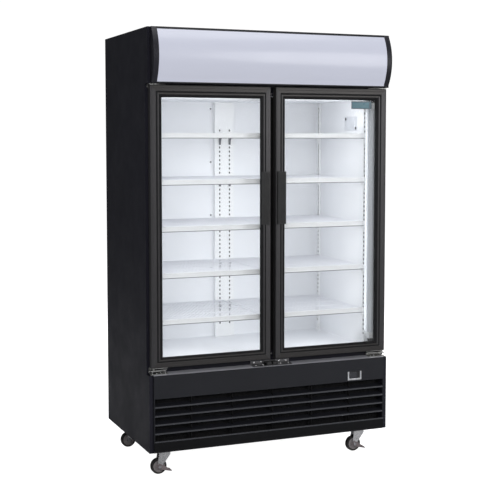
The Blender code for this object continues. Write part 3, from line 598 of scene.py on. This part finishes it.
def stage():
    """Pale floor, white surroundings, soft lights."""
    look = Finish("stage_floor", (0.62, 0.62, 0.63), 0.8, Emission_Color=(1, 1, 1, 1), Emission_Strength=0.0)
    look.mottle(0.01, look.noise(0.6, 2.0))
    seen = look.node("ShaderNodeLightPath").outputs["Is Camera Ray"]
    look.feed(look.shader.inputs["Emission Strength"], seen)
    bm = bmesh.new()
    reach = 40.0
    corners = ((-reach, -reach), (reach, -reach), (reach, reach), (-reach, reach))
    bm.faces.new([bm.verts.new((x, y, 0)) for x, y in corners])
    floor = link_mesh("stage_floor", bm)
    floor.data.materials.append(look.done())

    world = bpy.data.worlds.new("studio")
    bpy.context.scene.world = world
    world.use_nodes = True
    nodes, links = world.node_tree.nodes, world.node_tree.links
    backdrop, room = nodes["Background"], nodes.new("ShaderNodeBackground")
    for node, colour, strength in ((backdrop, (1, 1, 1, 1), 1.05), (room, (0.94, 0.96, 1, 1), 0.14)):
        node.inputs["Color"].default_value = colour
        node.inputs["Strength"].default_value = strength
    mixer = nodes.new("ShaderNodeMixShader")
    direct = nodes.new("ShaderNodeLightPath").outputs["Is Camera Ray"]
    for source, socket in zip((direct, room.outputs[0], backdrop.outputs[0]), mixer.inputs):
        links.new(source, socket)
    links.new(mixer.outputs[0], nodes["World Output"].inputs["Surface"])

    soft_light("front_left", (-2.6, -4.6, 2.9), (0, 0, 1.0), 2.6, 92)
    soft_light("front_right", (2.4, -4.4, 2.2), (0, 0, 1.0), 2.4, 72)
    soft_light("overhead", (0.2, -0.9, 4.2), (0, 0, 0.5), 2.8, 58)
    soft_light("rear_middle", (0.9, 4.6, 2.6), (0, 0, 1.0), 2.4, 60)
    soft_light("rear_right", (3.4, 2.4, 2.4), (0, 0, 1.0), 2.4, 60)
    for side, sign in SIDES:
        x = sign * BAY_MIDDLE
        bay_light("bay_" + side, (x, BODY_FRONT + 0.05, 1.13), 1.12, BAY_POWER[side])
        bay_light("bands_" + side, (x, BODY_FRONT + 0.033, 1.11), 1.18, BAND_POWER)
        bay_light("top_" + side, (x, BODY_FRONT + 0.05, 1.65), 0.12, TOP_POWER)


def area_light(name, shape, spot, size, power):
    light = bpy.data.lights.new(name, "AREA")
    light.shape = shape
    light.size = size
    light.energy = power
    obj = bpy.data.objects.new(name, light)
    obj.location = spot
    bpy.context.scene.collection.objects.link(obj)
    return obj


def bay_light(name, spot, height, power):
    """Spreads the strip lights' glow over one bay."""
    obj = area_light(name, "RECTANGLE", spot, BAY_LIGHT_WIDTH, power)
    obj.data.size_y = height
    obj.rotation_euler = (math.radians(90), 0, 0)
    obj.visible_camera = False


def soft_light(name, spot, target, size, power):
    obj = area_light(name, "DISK", spot, size, power)
    obj.rotation_euler = (Vector(target) - Vector(spot)).to_track_quat("-Z", "Y").to_euler()


def camera():
    lens = bpy.data.cameras.new("photo_camera")
    lens.lens = CAMERA_LENS
    lens.sensor_width = 36
    lens.shift_y = CAMERA_SHIFT
    obj = bpy.data.objects.new("photo_camera", lens)
    obj.location = CAMERA_SPOT
    obj.rotation_euler = (math.radians(90 - CAMERA_PITCH), 0, math.radians(-CAMERA_YAW))
    bpy.context.scene.collection.objects.link(obj)
    bpy.context.scene.camera = obj
    bpy.context.scene.view_settings.view_transform = "Standard"


# Cabinet

def shell():
    for side, _ in SIDES:
        refine("side_panel_" + side, bevel=0.0016, segments=3)
    for node in ("back_panel", "top_panel", "floor_panel", "centre_mullion", "base_frame"):
        refine(node, bevel=0.001)
    liner()
    back_details()
    mullion_screws()


def liner():
    """White inner skin with rounded corners, open at the front."""
    low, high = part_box("inner_liner")
    skin = 0.0022
    bm = bmesh.new()
    inner_low = low + Vector((skin, 0, skin))
    inner_high = high - Vector((skin, skin, skin))
    add_box(bm, inner_low, inner_high)
    mouth = [f for f in bm.faces if f.calc_center_median().y < low.y + 1e-4]
    bmesh.ops.delete(bm, geom=mouth, context="FACES_ONLY")
    obj = piece("inner_liner_finished", bm, "liner_white", bevel=0.01, segments=4)
    for face in obj.data.polygons:
        face.flip()
    modifier = obj.modifiers.new("Skin", "SOLIDIFY")
    modifier.thickness = skin * 0.9
    modifier.offset = -1
    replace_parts(obj, "inner_liner")


def back_details():
    """Screws round the back panel, a blank plate and the seam of the two sheets."""
    low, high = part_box("back_panel")
    bm = bmesh.new()
    columns = [low.x + 0.02 + (high.x - low.x - 0.04) * i / 4 for i in range(5)]
    rows = [low.z + 0.02 + (high.z - low.z - 0.04) * i / 6 for i in range(7)]
    for x in columns:
        for z in rows:
            if x in (columns[0], columns[-1]) or z in (rows[0], rows[-1]):
                add_screw(bm, (x, high.y, z), "Y", 0.0042, 0.002)
    piece("back_panel_screws", bm, "screw_dark", slot="black_sheet")
    seam_low = (low.x + 0.004, high.y - 0.0004, 1.236)
    seam_high = (high.x - 0.004, high.y + 0.001, 1.264)
    box_piece("back_panel_seam", seam_low, seam_high, "black_sheet", bevel=0.0006)
    bm = bmesh.new()
    add_box(bm, (0.2, high.y - 0.0004, 0.56), (0.32, high.y + 0.0006, 0.64))
    for x in (0.207, 0.313):
        for z in (0.567, 0.633):
            add_screw(bm, (x, high.y + 0.0006, z), "Y", 0.0024, 0.001, look=1)
    piece("back_blank_plate", bm, ["plate_grey", "screw_steel"], slot="black_sheet", bevel=0.0003)


def mullion_screws():
    """Two screws that show in the gap between the doors."""
    bm = bmesh.new()
    for z in (0.5265, 1.7335):
        add_screw(bm, (0.0085, BODY_FRONT, z), "Y", 0.0038, -0.0018)
    piece("mullion_screws", bm, "screw_steel", slot="mullion_black")


# Chilled space

def slot_rows(bottom, top):
    """Heights of a strip's slots, as the edges of its rows, with the indexes of the open ones."""
    rows = [bottom]
    holes = []
    z = top - 0.02
    cuts = []
    while z - SLOT_HEIGHT > bottom + 0.012:
        cuts.append((z - SLOT_HEIGHT, z))
        z -= SLOT_PITCH
    for low, high in reversed(cuts):
        rows += [low, high]
        holes.append(len(rows) - 2)
    return rows + [top], holes


def centre_panel():
    """Air duct cover in the middle of the back wall, with its two slotted strips and painted shade behind
    their slots.
    """
    low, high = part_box("rear_centre_pilaster")
    half = 0.009
    rows, holes = slot_rows(0.56, 1.595)
    bm = bmesh.new()
    skin = 0.0016
    face = low.y + 0.0012
    inner, outer = STRIP_X - half + 0.002, STRIP_X + half - 0.002
    columns = [low.x, -outer, -inner, inner, outer, high.x]
    levels = [low.z, rows[0] + 0.004, rows[-1] - 0.004, high.z]
    add_pierced(bm, columns, levels, [(1, 1), (3, 1)], lambda u, v, back: (u, face + back * skin, v))
    for x in (low.x, high.x - skin):
        add_box(bm, (x, face + skin, low.z), (x + skin, high.y, high.z))
    panel = piece("rear_centre_panel", bm, "strip_steel", bevel=0.0004)
    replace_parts(panel, "rear_centre_pilaster")
    for side, sign in SIDES:
        bm = bmesh.new()
        x = sign * STRIP_X
        columns = [x - half, x - SLOT_WIDTH / 2, x + SLOT_WIDTH / 2, x + half]
        slots = [(1, j) for j in holes]
        add_pierced(bm, columns, rows, slots, lambda u, v, back: (u, low.y + back * 0.0012, v))
        piece("rear_centre_strip_" + side, bm, "strip_steel", bevel=0.0002, segments=1)
        # A near-black plate behind each strip's slots is painted shade.
        reach = half - 0.0022
        corners = (x - reach, face + skin, rows[0]), (x + reach, face + 2 * skin, rows[-1])
        box_piece("rear_centre_backing_" + side, *corners, "slot_shade", slot="strip_steel", bevel=0.0002)
    bm = bmesh.new()
    for i in range(5):
        add_screw(bm, (low.x - 0.016, BACK_INSIDE, 0.6 + 0.27 * i), "Y", 0.0045, -0.0016)
    piece("rear_wall_screws", bm, "clip_steel", slot="strip_steel")


def wall_strip(end, side, sign):
    """Channel on the side wall, with a row of slots and painted shade behind them."""
    node = "pilaster_" + end + "_" + side
    low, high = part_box(node)
    middle = (low.y + high.y) / 2
    skin = 0.0012
    face, wall = (low.x, high.x) if sign > 0 else (high.x, low.x)
    rows, holes = slot_rows(low.z + 0.03, high.z - 0.002)
    rows[0] = low.z
    bm = bmesh.new()
    columns = [low.y, middle - WALL_SLOT_WIDTH / 2, middle + WALL_SLOT_WIDTH / 2, high.y]
    slots = [(1, j) for j in holes]
    add_pierced(bm, columns, rows, slots, lambda u, v, back: (face + sign * back * skin, u, v))
    for y in (low.y, high.y - skin):
        add_box(bm, (face + sign * skin, y, low.z), (wall, y + skin, high.z))
    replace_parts(piece(node + "_channel", bm, "strip_steel", bevel=0.0002, segments=1), node)
    # A near-black plate behind the slots is painted shade.
    near, far = face + sign * 3 * skin, face + sign * 4 * skin
    corners = (near, low.y + 2 * skin, rows[1]), (far, high.y - 2 * skin, rows[-2])
    box_piece(node + "_backing", *corners, "slot_shade", slot="strip_steel", bevel=0.0002)


def shelf(side, sign, level):
    """Coated wires on cross rods, inside a bent frame, with a price band along the front."""
    node = "shelf_" + side + "_" + str(level)
    low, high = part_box(node)
    wire, rod = 0.0017, 0.0028
    wire_z = high.z - 0.003
    rod_z = wire_z - wire - rod + 0.0002
    front, rear = low.y + 0.01, high.y - rod - 0.0004
    left, right = low.x + rod + 0.0006, high.x - rod - 0.0006
    bm = bmesh.new()
    middle = (left + right) / 2
    ring = [(middle, front), (right, front), (right, rear), (left, rear), (left, front), (middle, front)]
    add_tube(bm, rounded_path([(x, y, rod_z) for x, y in ring], 0.01), rod)
    for share in (0.3, 0.56, 0.8):
        y = front + (rear - front) * share
        add_tube(bm, [(left, y, rod_z), (right, y, rod_z)], rod)
    wires = 31
    for i in range(wires):
        x = left + 0.006 + (right - left - 0.012) * i / (wires - 1)
        run = [
            (x, front - 0.002, rod_z - 0.004), (x, front - 0.002, wire_z),
            (x, rear + 0.001, wire_z), (x, rear + 0.001, rod_z - 0.006),
        ]
        add_tube(bm, rounded_path(run, 0.004, 2), wire, 6)
    grid = piece(node + "_wires", bm, "shelf_white")
    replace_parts(grid, node)
    bm = bmesh.new()
    lip = 0.003
    y, top, bottom = low.y, high.z, low.z + lip
    outline = [
        (y + 0.0003, bottom + 0.001), (y + 0.0013, bottom), (y + 0.0052, bottom),
        (y + 0.0052, bottom + 0.0014), (y + 0.0036, bottom + 0.002), (y + 0.0036, top - 0.002),
        (y + 0.0075, top - 0.0016), (y + 0.0075, top),
        (y + 0.0013, top), (y + 0.0003, top - 0.001), (y + 0.0003, top - 0.003), (y + 0.0012, top - 0.0036),
        (y + 0.0012, bottom + 0.0036), (y + 0.0003, bottom + 0.003),
    ]
    add_prism(bm, outline, "X", low.x + 0.0006, high.x - 0.0006)
    for x in (low.x, high.x - 0.0022):
        add_box(bm, (x, y, bottom + 0.0004), (x + 0.0022, y + 0.0082, top - 0.0004))
    # A dark strip under the band is its painted shadow line.
    add_box(bm, (low.x + 0.0006, y + 0.0014, low.z), (high.x - 0.0006, y + 0.0062, bottom + 0.0002), look=1)
    piece(node + "_band", bm, ["band_white", "band_edge"], slot="shelf_white", bevel=0.0003)


def add_clip(bm, axis, middle, face, way, top, reach, knee):
    """Steel hook under a shelf, which leans out of a strip's face. Its knee is (out, down)."""
    out, down = knee
    outline = [
        (face, top - CLIP_DROP), (face, top - 0.019), (face + way * reach, top - 0.019),
        (face + way * reach, top - 0.026), (face + way * out, top - down),
        (face + way * 0.004, top - CLIP_DROP),
    ]
    add_prism(bm, outline, axis, middle - 0.005, middle + 0.005)


def shelf_clips():
    """The hooks of the middle strips, and those of the strips on each side wall."""
    panel_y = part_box("rear_centre_pilaster")[0].y
    tops = [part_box("shelf_left_" + str(i + 1))[1].z for i in range(5)]
    bm = bmesh.new()
    for top in tops:
        for x in (-STRIP_X, STRIP_X):
            add_clip(bm, "X", x, panel_y, -1, top, 0.015, (0.008, 0.034))
    piece("shelf_clips_centre", bm, "clip_steel", slot="strip_steel", bevel=0.0005)
    for side, sign in SIDES:
        bm = bmesh.new()
        for end in ("front", "rear"):
            low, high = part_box("pilaster_" + end + "_" + side)
            face = low.x if sign > 0 else high.x
            for top in tops:
                add_clip(bm, "Y", (low.y + high.y) / 2, face, -sign, top, 0.014, (0.004, 0.036))
        piece("shelf_clips_" + side, bm, "strip_steel", bevel=0.0005)


def led_light(side, sign):
    """Aluminium housing, a diffuser that faces the shelves, and end caps."""
    node = "led_strip_" + side
    low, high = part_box(node)
    body = refine(node, "led_housing", bevel=0.0008)
    body.name = node + "_housing"
    face, wall = (low.x, high.x) if sign > 0 else (high.x, low.x)
    near, far = face + sign * 0.002, wall - sign * 0.003
    corners = (near, high.y - 0.0002, low.z + 0.028), (far, high.y + 0.0012, high.z - 0.028)
    box_piece(node + "_diffuser", *corners, "led_diffuser", slot="light_diffuser", bevel=0.0005)
    bm = bmesh.new()
    cap = 0.03
    for z in (low.z, high.z - cap):
        near = (face - sign * 0.0012, low.y - 0.0008, z)
        add_box(bm, near, (wall, high.y + 0.002, z + cap))
    piece(node + "_caps", bm, "cap_white", slot="light_diffuser", bevel=0.0015)


def inner_plate():
    """Blank plate on the right wall, with a dark screw at two of its corners."""
    low, high = (-0.13, 1.568), (0.000, 1.638)
    face = INSIDE - 0.0016
    bm = bmesh.new()
    add_box(bm, (face, low[0], low[1]), (INSIDE + 0.0004, high[0], high[1]))
    for y, z in ((low[0] + 0.012, low[1] + 0.012), (high[0] - 0.012, high[1] - 0.012)):
        add_screw(bm, (face, y, z), "X", 0.0075, -0.0016, look=1)
    piece("blank_wall_plate", bm, ["plate_grey", "screw_dark"], slot="liner_white", bevel=0.0006)


def chilled_space():
    centre_panel()
    shelf_clips()
    inner_plate()
    for side, sign in SIDES:
        for end in ("front", "rear"):
            wall_strip(end, side, sign)
        led_light(side, sign)
        for level in range(1, 6):
            shelf(side, sign, level)
    refine("evaporator_cover", bevel=0.0015)


# Base

def base():
    grille()
    controller()
    refine("compressor", bevel=0.001)
    condenser()


def grille():
    """Fascia with its ledge top and slat lips painted lighter as highlights, combs, a filter behind the slats
    on a near-black sheet as painted shade, and painted shade on its lower front.
    """
    obj = refine("louvre_grille", ["fascia_black", "ledge_black", "slat_lip"], bevel=0.0009)
    for face in obj.data.polygons:
        middle = face.center
        # The ledge's top faces take the painted highlight.
        if face.normal.z > 0.9 and middle.z > LEDGE_FRONT - 0.001:
            face.material_index = 1
        # The slats' front faces take the painted highlight of their lips.
        if face.normal.y < -0.9 and middle.y > FASCIA_LOW.y + 0.001 and VENT_BOTTOM < middle.z < VENT_TOP:
            face.material_index = 2
    bm = bmesh.new()
    bottom, top = VENT_BOTTOM - 0.009, VENT_TOP
    for x in (-0.4, -0.2, 0.0, 0.2, 0.4):
        low = (x - 0.0015, FASCIA_LOW.y + 0.0125, bottom)
        add_box(bm, low, (x + 0.0015, FASCIA_LOW.y + 0.03, top))
    piece("slat_combs", bm, "filter_black", slot="fascia_black", bevel=0.0004)
    # Filter grid on a solid near-black sheet that closes off the space behind the slats, as painted shade.
    bm = bmesh.new()
    reach, y = 0.57, FRONT + 0.03
    add_box(bm, (-reach, y + 0.0035, bottom - 0.01), (reach, y + 0.011, top + 0.004))
    for i in range(77):
        x = -reach + 0.015 * i
        add_box(bm, (x - 0.0008, y + 0.0014, bottom - 0.01), (x + 0.0008, y + 0.0036, top + 0.004))
    for i in range(17):
        z = bottom + 0.0135 * i
        add_box(bm, (-reach, y, z), (reach, y + 0.0016, z + 0.0016))
    piece("air_filter_painted_shade", bm, "filter_black", slot="fascia_black")
    reach, face = -FASCIA_LOW.x, FASCIA_LOW.y
    # A thin near-black sheet over the fascia below the vents, as painted shade.
    corners = (-reach, face - 0.0007, FASCIA_LOW.z + 0.0005), (reach, face + 0.0002, VENT_BOTTOM - 0.001)
    box_piece("grille_lower_painted_shade", *corners, "skirt_black", slot="fascia_black")
    # The lip above the lower panel takes the same painted highlight.
    corners = (-reach, face - 0.0016, VENT_BOTTOM - 0.0022), (reach, face + 0.006, VENT_BOTTOM + 0.003)
    box_piece("grille_lip", *corners, "slat_lip", slot="fascia_black", bevel=0.0008)


def controller():
    """Bright three-sided trim round a dark window with three keys."""
    low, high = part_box("controller")
    refine("controller", bevel=0.0008)
    face = low.y
    left, right, bottom, top = low.x + 0.0006, high.x - 0.0006, low.z + 0.0006, high.z - 0.0008
    trim = 0.0078
    outline = [
        (left, top), (left, bottom), (right, bottom), (right, top),
        (right - trim, top), (right - trim, bottom + trim), (left + trim, bottom + trim), (left + trim, top),
    ]
    bm = bmesh.new()
    add_prism(bm, outline, "Y", face - 0.0022, face + 0.0002)
    piece("controller_trim", bm, "bright_trim", slot="display_black", bevel=0.0006)
    near = (low.x + 0.0095, face - 0.0012, low.z + 0.0085)
    far = (high.x - 0.024, face + 0.0002, high.z - 0.005)
    box_piece("controller_window", near, far, "display_lens", slot="display_black", bevel=0.0005)
    bm = bmesh.new()
    key = [(0.0028, 0.0), (0.0028, -0.001), (0.002, -0.0015)]
    for i in range(3):
        add_turned(bm, key, (high.x - 0.0155, face, low.z + 0.0135 + 0.0095 * i), "Y", 16)
    piece("controller_keys", bm, "grip_black", slot="display_black")


def condenser():
    """Finned block with its copper bends, and the fan."""
    low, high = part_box("condenser_coil")
    bm = bmesh.new()
    fins = 76
    for i in range(fins):
        x = low.x + 0.004 + (high.x - low.x - 0.0095) * i / (fins - 1)
        add_box(bm, (x, low.y + 0.001, low.z + 0.004), (x + 0.0005, high.y - 0.001, high.z - 0.004))
    for x in (low.x, high.x - 0.0015):
        add_box(bm, (x, low.y, low.z), (x + 0.0015, high.y, high.z))
    obj = piece("condenser_fins", bm, "fin_aluminium")
    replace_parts(obj, "condenser_coil")
    bm = bmesh.new()
    for row in range(5):
        z = low.z + 0.036 + 0.056 * row
        for y in (low.y + 0.013, high.y - 0.013):
            add_tube(bm, [(low.x - 0.004, y, z), (high.x + 0.004, y, z)], 0.0045, 8)
        near, far = high.x + 0.004, high.x + 0.018
        front, back = low.y + 0.013, high.y - 0.013
        bend = [(near, front, z), (far, front, z), (far, back, z), (near, back, z)]
        add_tube(bm, rounded_path(bend, 0.01), 0.0045, 8)
    piece("condenser_pipes", bm, "copper", slot="fin_aluminium")
    refine("condenser_fan", bevel=0.0006)
    refine("evaporator_fan", bevel=0.0004)
    refine("evaporator_coil", bevel=0.0)


# Canopy

def canopy():
    refine("canopy_housing", bevel=0.001)
    refine("canopy_light_panel", bevel=0.0004, crease=40)
    refine("canopy_light_tube", "light_tube", bevel=0.0)
    for side, _ in SIDES:
        refine("canopy_end_cap_" + side, bevel=0.0022, segments=3)


# Doors

def cut_pin_hole(obj, side, z):
    """Round hole for the hinge pin, centred at a height."""
    hole = bmesh.new()
    reach = 0.014
    add_turned(hole, [(PIN_HOLE, -reach), (PIN_HOLE, reach)], (PIN_SPOT[side], PIN_BACK, z), "Z", 20)
    cut(obj, hole)
    smooth(obj, CREASE)


def frame_bars(side):
    """Mitred extrusions with a groove, a separate black bead, a black strip in the groove as its painted
    shade, and the pin holes.
    """
    node = "door_frame_" + side
    edges = door_edges(side)
    radius = 0.0018
    angles = [math.radians(a) for a in (90, 60, 30, 0)]
    arc = [(radius * (1 - math.sin(a)), radius * (1 - math.cos(a))) for a in angles]
    slope = 0.0009
    profile = arc + [
        (0.0105, 0.0), (0.0112, 0.0005), (0.0119, 0.0), (GROOVE[0] - slope, 0.0), (GROOVE[0], slope),
        (GROOVE[0], GROOVE_DEPTH), (GROOVE[1], GROOVE_DEPTH), (GROOVE[1], slope), (GROOVE[1] + slope, 0.0),
        (BEAD[0] - 0.0014, 0.0), (BEAD[0] - 0.0004, 0.001), (BEAD[0] - 0.0004, LIP_DEPTH),
        (REBATE, LIP_DEPTH), (REBATE, DOOR_THICK), (0.0, DOOR_THICK),
    ]
    bm = bmesh.new()
    add_rim_bars(bm, edges, profile, looks=(1, 0))
    # Stiles take the copy painted lighter as light, rails the darker one.
    obj = piece(node + "_bars", bm, ["stile", "rail"], "door_" + side, "door_aluminium")
    for _, z in edges[:2]:
        cut_pin_hole(obj, side, z)
    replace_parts(obj, node)

    bm = bmesh.new()
    bead = [
        (BEAD[0], 0.0016), (BEAD[0] + 0.0014, 0.0007), (BEAD[0] + 0.0036, 0.001), (BEAD[1] - 0.0012, 0.0046),
        (BEAD[1], 0.006), (BEAD[1], LIP_DEPTH), (BEAD[0], LIP_DEPTH),
    ]
    add_rim_bars(bm, edges, bead)
    # A black strip along the floor of the groove is the groove's painted shade.
    low, high = GROOVE[0] + 0.0001, GROOVE[1] - 0.0001
    floor = GROOVE_DEPTH - 0.0001
    strip = [(low, 0.0014), (high, 0.0014), (high, floor), (low, floor)]
    add_rim_bars(bm, edges, strip)
    piece("door_bead_and_groove_shade_" + side, bm, "bead_black", "door_" + side, "gasket_black", crease=50)


def panes(side):
    """Two panes with a black warm-edge spacer between them."""
    node = "door_glass_" + side
    low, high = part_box(node)
    bm = bmesh.new()
    for y in (low.y, high.y - PANE):
        add_box(bm, (low.x, y, low.z), (high.x, y + PANE, high.z))
    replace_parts(piece(node + "_panes", bm, "door_glass", "door_" + side, bevel=0.0004, segments=1), node)
    bm = bmesh.new()
    y0, y1 = low.y + PANE + 0.0001 - FRONT, high.y - PANE - 0.0001 - FRONT
    outer, inner = REBATE + 0.0006, BEAD[1] - 0.0032
    spacer = [(outer, y0), (inner, y0), (inner, y1), (outer, y1)]
    add_rim_bars(bm, door_edges(side), spacer)
    piece("glass_spacer_" + side, bm, "spacer_black", "door_" + side, "door_glass")


def gasket(side):
    """Bellows seal with its magnet strip."""
    node = "door_gasket_" + side
    edges = door_edges(side)
    low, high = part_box(node)
    inset = low.z - edges[0][1]
    inner = inset + 0.014
    fold = 0.003
    y0, y1 = low.y - FRONT, high.y - FRONT
    profile = [
        (inset, y0), (inner, y0), (inner, y0 + 0.001), (inner - fold, y0 + 0.0022), (inner, y0 + 0.0034),
        (inner, y1 - 0.001), (inner - 0.0012, y1), (inset + 0.0012, y1), (inset, y1 - 0.001),
        (inset, y0 + 0.0034), (inset + fold, y0 + 0.0022), (inset, y0 + 0.001),
    ]
    bm = bmesh.new()
    add_rim_bars(bm, edges, profile, widen=False)
    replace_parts(piece(node + "_bellows", bm, "gasket_black", "door_" + side), node)


def handle(side, sign):
    """Grip with fine ribs down its face and plain end caps."""
    node = "door_handle_" + side
    low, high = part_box(node)
    face = low.y
    near, far = (low.x, high.x) if sign > 0 else (high.x, low.x)
    outline = [(near, FRONT - 0.0003), (near, face + 0.003), (near + sign * 0.003, face)]
    ribs = 10
    pitch = 0.0033
    for i in range(ribs):
        x = near + sign * (0.004 + pitch * i)
        rib = ((0.0, 0.0), (0.002, 0.0), (0.0024, 0.0009), (0.0029, 0.0009))
        outline += [(x + sign * across, face + depth) for across, depth in rib]
    outline += [
        (near + sign * 0.0382, face), (far - sign * 0.0025, face), (far, face + 0.0018), (far, face + 0.0034),
        (near + sign * 0.0205, face + 0.0034), (near + sign * 0.0185, FRONT - 0.0003),
    ]
    bm = bmesh.new()
    cap = 0.005
    add_prism(bm, outline, "Z", low.z + cap, high.z - cap)
    plain = outline[:3] + outline[-5:]
    for start, end in ((low.z, low.z + cap), (high.z - cap, high.z)):
        add_prism(bm, plain, "Z", start, end)
    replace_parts(piece(node + "_grip", bm, "grip_black", "door_" + side, bevel=0.0003, segments=1), node)


def ledge_height(y):
    """Height of the sloping ledge behind the fascia's top edge."""
    share = (y - FASCIA_LOW.y) / (BODY_FRONT - FASCIA_LOW.y)
    return LEDGE_FRONT + (LEDGE_REAR - LEDGE_FRONT) * share


def add_ledge_plate(bm, start, end, front, top):
    """Folded plate between two X values, lying on the ledge and turned up against the body."""
    lift, skin = 0.0002, 0.0026
    back = BODY_FRONT - 0.0004
    outline = [
        (front, ledge_height(front) + lift), (back, ledge_height(back) + lift), (back, top),
        (back - skin, top), (back - skin, ledge_height(back) + skin), (front, ledge_height(front) + skin),
    ]
    add_prism(bm, outline, "X", start, end)


def hinges(side, sign):
    """Body brackets with their foot plates and screws, and the plate under the door."""
    for end in ("bottom", "top"):
        refine("hinge_" + end + "_" + side, bevel=0.0006)
    low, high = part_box("hinge_bottom_" + side)
    bm = bmesh.new()
    add_ledge_plate(bm, low.x, high.x, FRONT + 0.004, low.z - 0.0003)
    length = high.x - low.x
    for share in (0.14, 0.38, 0.62, 0.86):
        spot = (low.x + length * share, FRONT + 0.016, ledge_height(FRONT + 0.016) + 0.0026)
        add_screw(bm, spot, "Z", 0.005, 0.0024, look=1)
    for share in (0.3, 0.62):
        x = low.x + length * (share if sign < 0 else 1 - share)
        add_screw(bm, (x, high.y - 0.0031, (low.z + high.z) / 2 - 0.004), "Y", 0.0042, -0.0024, look=1)
    # The screw heads take the painted glint.
    piece("hinge_foot_" + side, bm, ["hinge_zinc", "screw_bright"], bevel=0.0005)
    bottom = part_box("door_frame_" + side)[0].z
    near = (sign * 0.512, FRONT + 0.003, bottom - 0.003)
    far = (sign * 0.586, FRONT + 0.032, bottom - 0.0001)
    plate = box_piece("hinge_door_plate_" + side, near, far, "hinge_zinc", "door_" + side, bevel=0.0006)
    cut_pin_hole(plate, side, bottom)


def centre_stop():
    """Plate on the ledge under the meeting stiles, with a turned-up back, a slotted block and screws."""
    bm = bmesh.new()
    half = 0.098
    top = LEDGE_REAR + 0.016
    add_ledge_plate(bm, -half, half, FRONT - 0.003, top)
    for x in (-0.082, -0.046, 0.046, 0.082):
        add_screw(bm, (x, BODY_FRONT - 0.003, top - 0.007), "Y", 0.0048, -0.0024, look=1)
        spot = (x, FRONT + 0.012, ledge_height(FRONT + 0.012) + 0.0026)
        add_screw(bm, spot, "Z", 0.0052, 0.0026, look=1)
    for sign in (-1, 1):
        near = (sign * 0.004, FRONT + 0.006, LEDGE_FRONT + 0.002)
        add_box(bm, near, (sign * 0.026, BODY_FRONT - 0.004, top - 0.004), look=2)
    # The screw heads take the painted glint.
    looks = ["stop_zinc", "screw_bright", "grip_black"]
    piece("centre_stop_plate", bm, looks, slot="hinge_zinc", bevel=0.0006)


def sticker():
    """Plain teal label in the upper outer corner of the right glass."""
    low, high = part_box("door_glass_right")
    x1, z1 = high.x - 0.03, high.z - 0.014
    corners = (x1 - 0.108, low.y - 0.0003, z1 - 0.036), (x1, low.y, z1)
    box_piece("glass_label_edge", *corners, "teal_edge", "door_right", "door_glass")
    corners = (x1 - 0.102, low.y - 0.0006, z1 - 0.031), (x1 - 0.014, low.y - 0.0003, z1 - 0.005)
    box_piece("glass_label", *corners, "teal", "door_right", "door_glass")


def doors():
    for side, sign in SIDES:
        frame_bars(side)
        panes(side)
        gasket(side)
        handle(side, sign)
        hinges(side, sign)
    centre_stop()
    sticker()


# Casters

def wheel(name):
    """Tread with shallow ribs on a spoked hub."""
    node = "caster_wheel_" + name
    low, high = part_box(node)
    centre = (low + high) / 2
    radius = high.z - centre.z
    half = (high.y - low.y) / 2
    body = "wheel_" + name
    bm = bmesh.new()
    tread = [
        (radius - 0.0095, -half + 0.001), (radius - 0.008, -half), (radius - 0.003, -half),
        (radius - 0.0008, -half + 0.0016), (radius, -half + 0.0045), (radius, -0.002),
        (radius - 0.0007, -0.0012),
    ]
    tread += [(r, -along) for r, along in reversed(tread)]
    add_turned(bm, tread, centre, "Y", 64, closed=True)
    obj = piece("caster_tread_" + name, bm, "wheel_black", body, crease=40)
    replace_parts(obj, node)
    bm = bmesh.new()
    hub = [
        (0.0058, -half + 0.0002), (0.0105, -half + 0.0002), (0.012, -half + 0.0025),
        (radius - 0.0135, -half + 0.004), (radius - 0.0115, -half + 0.0008),
        (radius - 0.0097, -half + 0.0008),
    ]
    hub += [(r, -along) for r, along in reversed(hub)]
    add_turned(bm, hub, centre, "Y", 48, closed=True)
    for k in range(6):
        turn = Matrix.Rotation(math.pi * k / 3, 4, "Y")
        for face in (-1, 1):
            start = len(bm.verts)
            near = (0.0112, face * (half - 0.0042), -0.0011)
            add_box(bm, near, (radius - 0.012, face * (half - 0.0012), 0.0011))
            bm.verts.ensure_lookup_table()
            for vert in bm.verts[start:]:
                vert.co = turn @ vert.co + centre
    piece("caster_hub_" + name, bm, "hub_grey", body, "wheel_black", crease=40)


def caster(end, side, sign):
    name = end + "_" + side
    refine("caster_fork_" + name, bevel=0.0007)
    wheel(name)
    low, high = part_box("caster_wheel_" + name)
    centre = (low + high) / 2
    fork_low, fork_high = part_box("caster_fork_" + name)
    bm = bmesh.new()
    for y, way in ((fork_low.y, -1), (fork_high.y, 1)):
        nut = [(0.0078, -way * 0.0016), (0.0078, way * 0.0004), (0.0066, way * 0.0012)]
        add_turned(bm, nut, (centre.x, y, centre.z), "Y", 6)
    ring = [(0.0268, -0.0014), (0.0276, 0.0), (0.0268, 0.0014)]
    add_turned(bm, ring, (centre.x + CASTER_TRAIL, centre.y, fork_high.z - 0.0035), "Z", 32)
    piece("caster_nuts_" + name, bm, "screw_steel", "fork_" + name, "caster_zinc")
    if end == "front":
        refine("brake_pedal_" + name, bevel=0.0006)


# Making

stage()
camera()
shell()
chilled_space()
base()
canopy()
doors()
for end, side, sign in CORNERS:
    caster(end, side, sign)
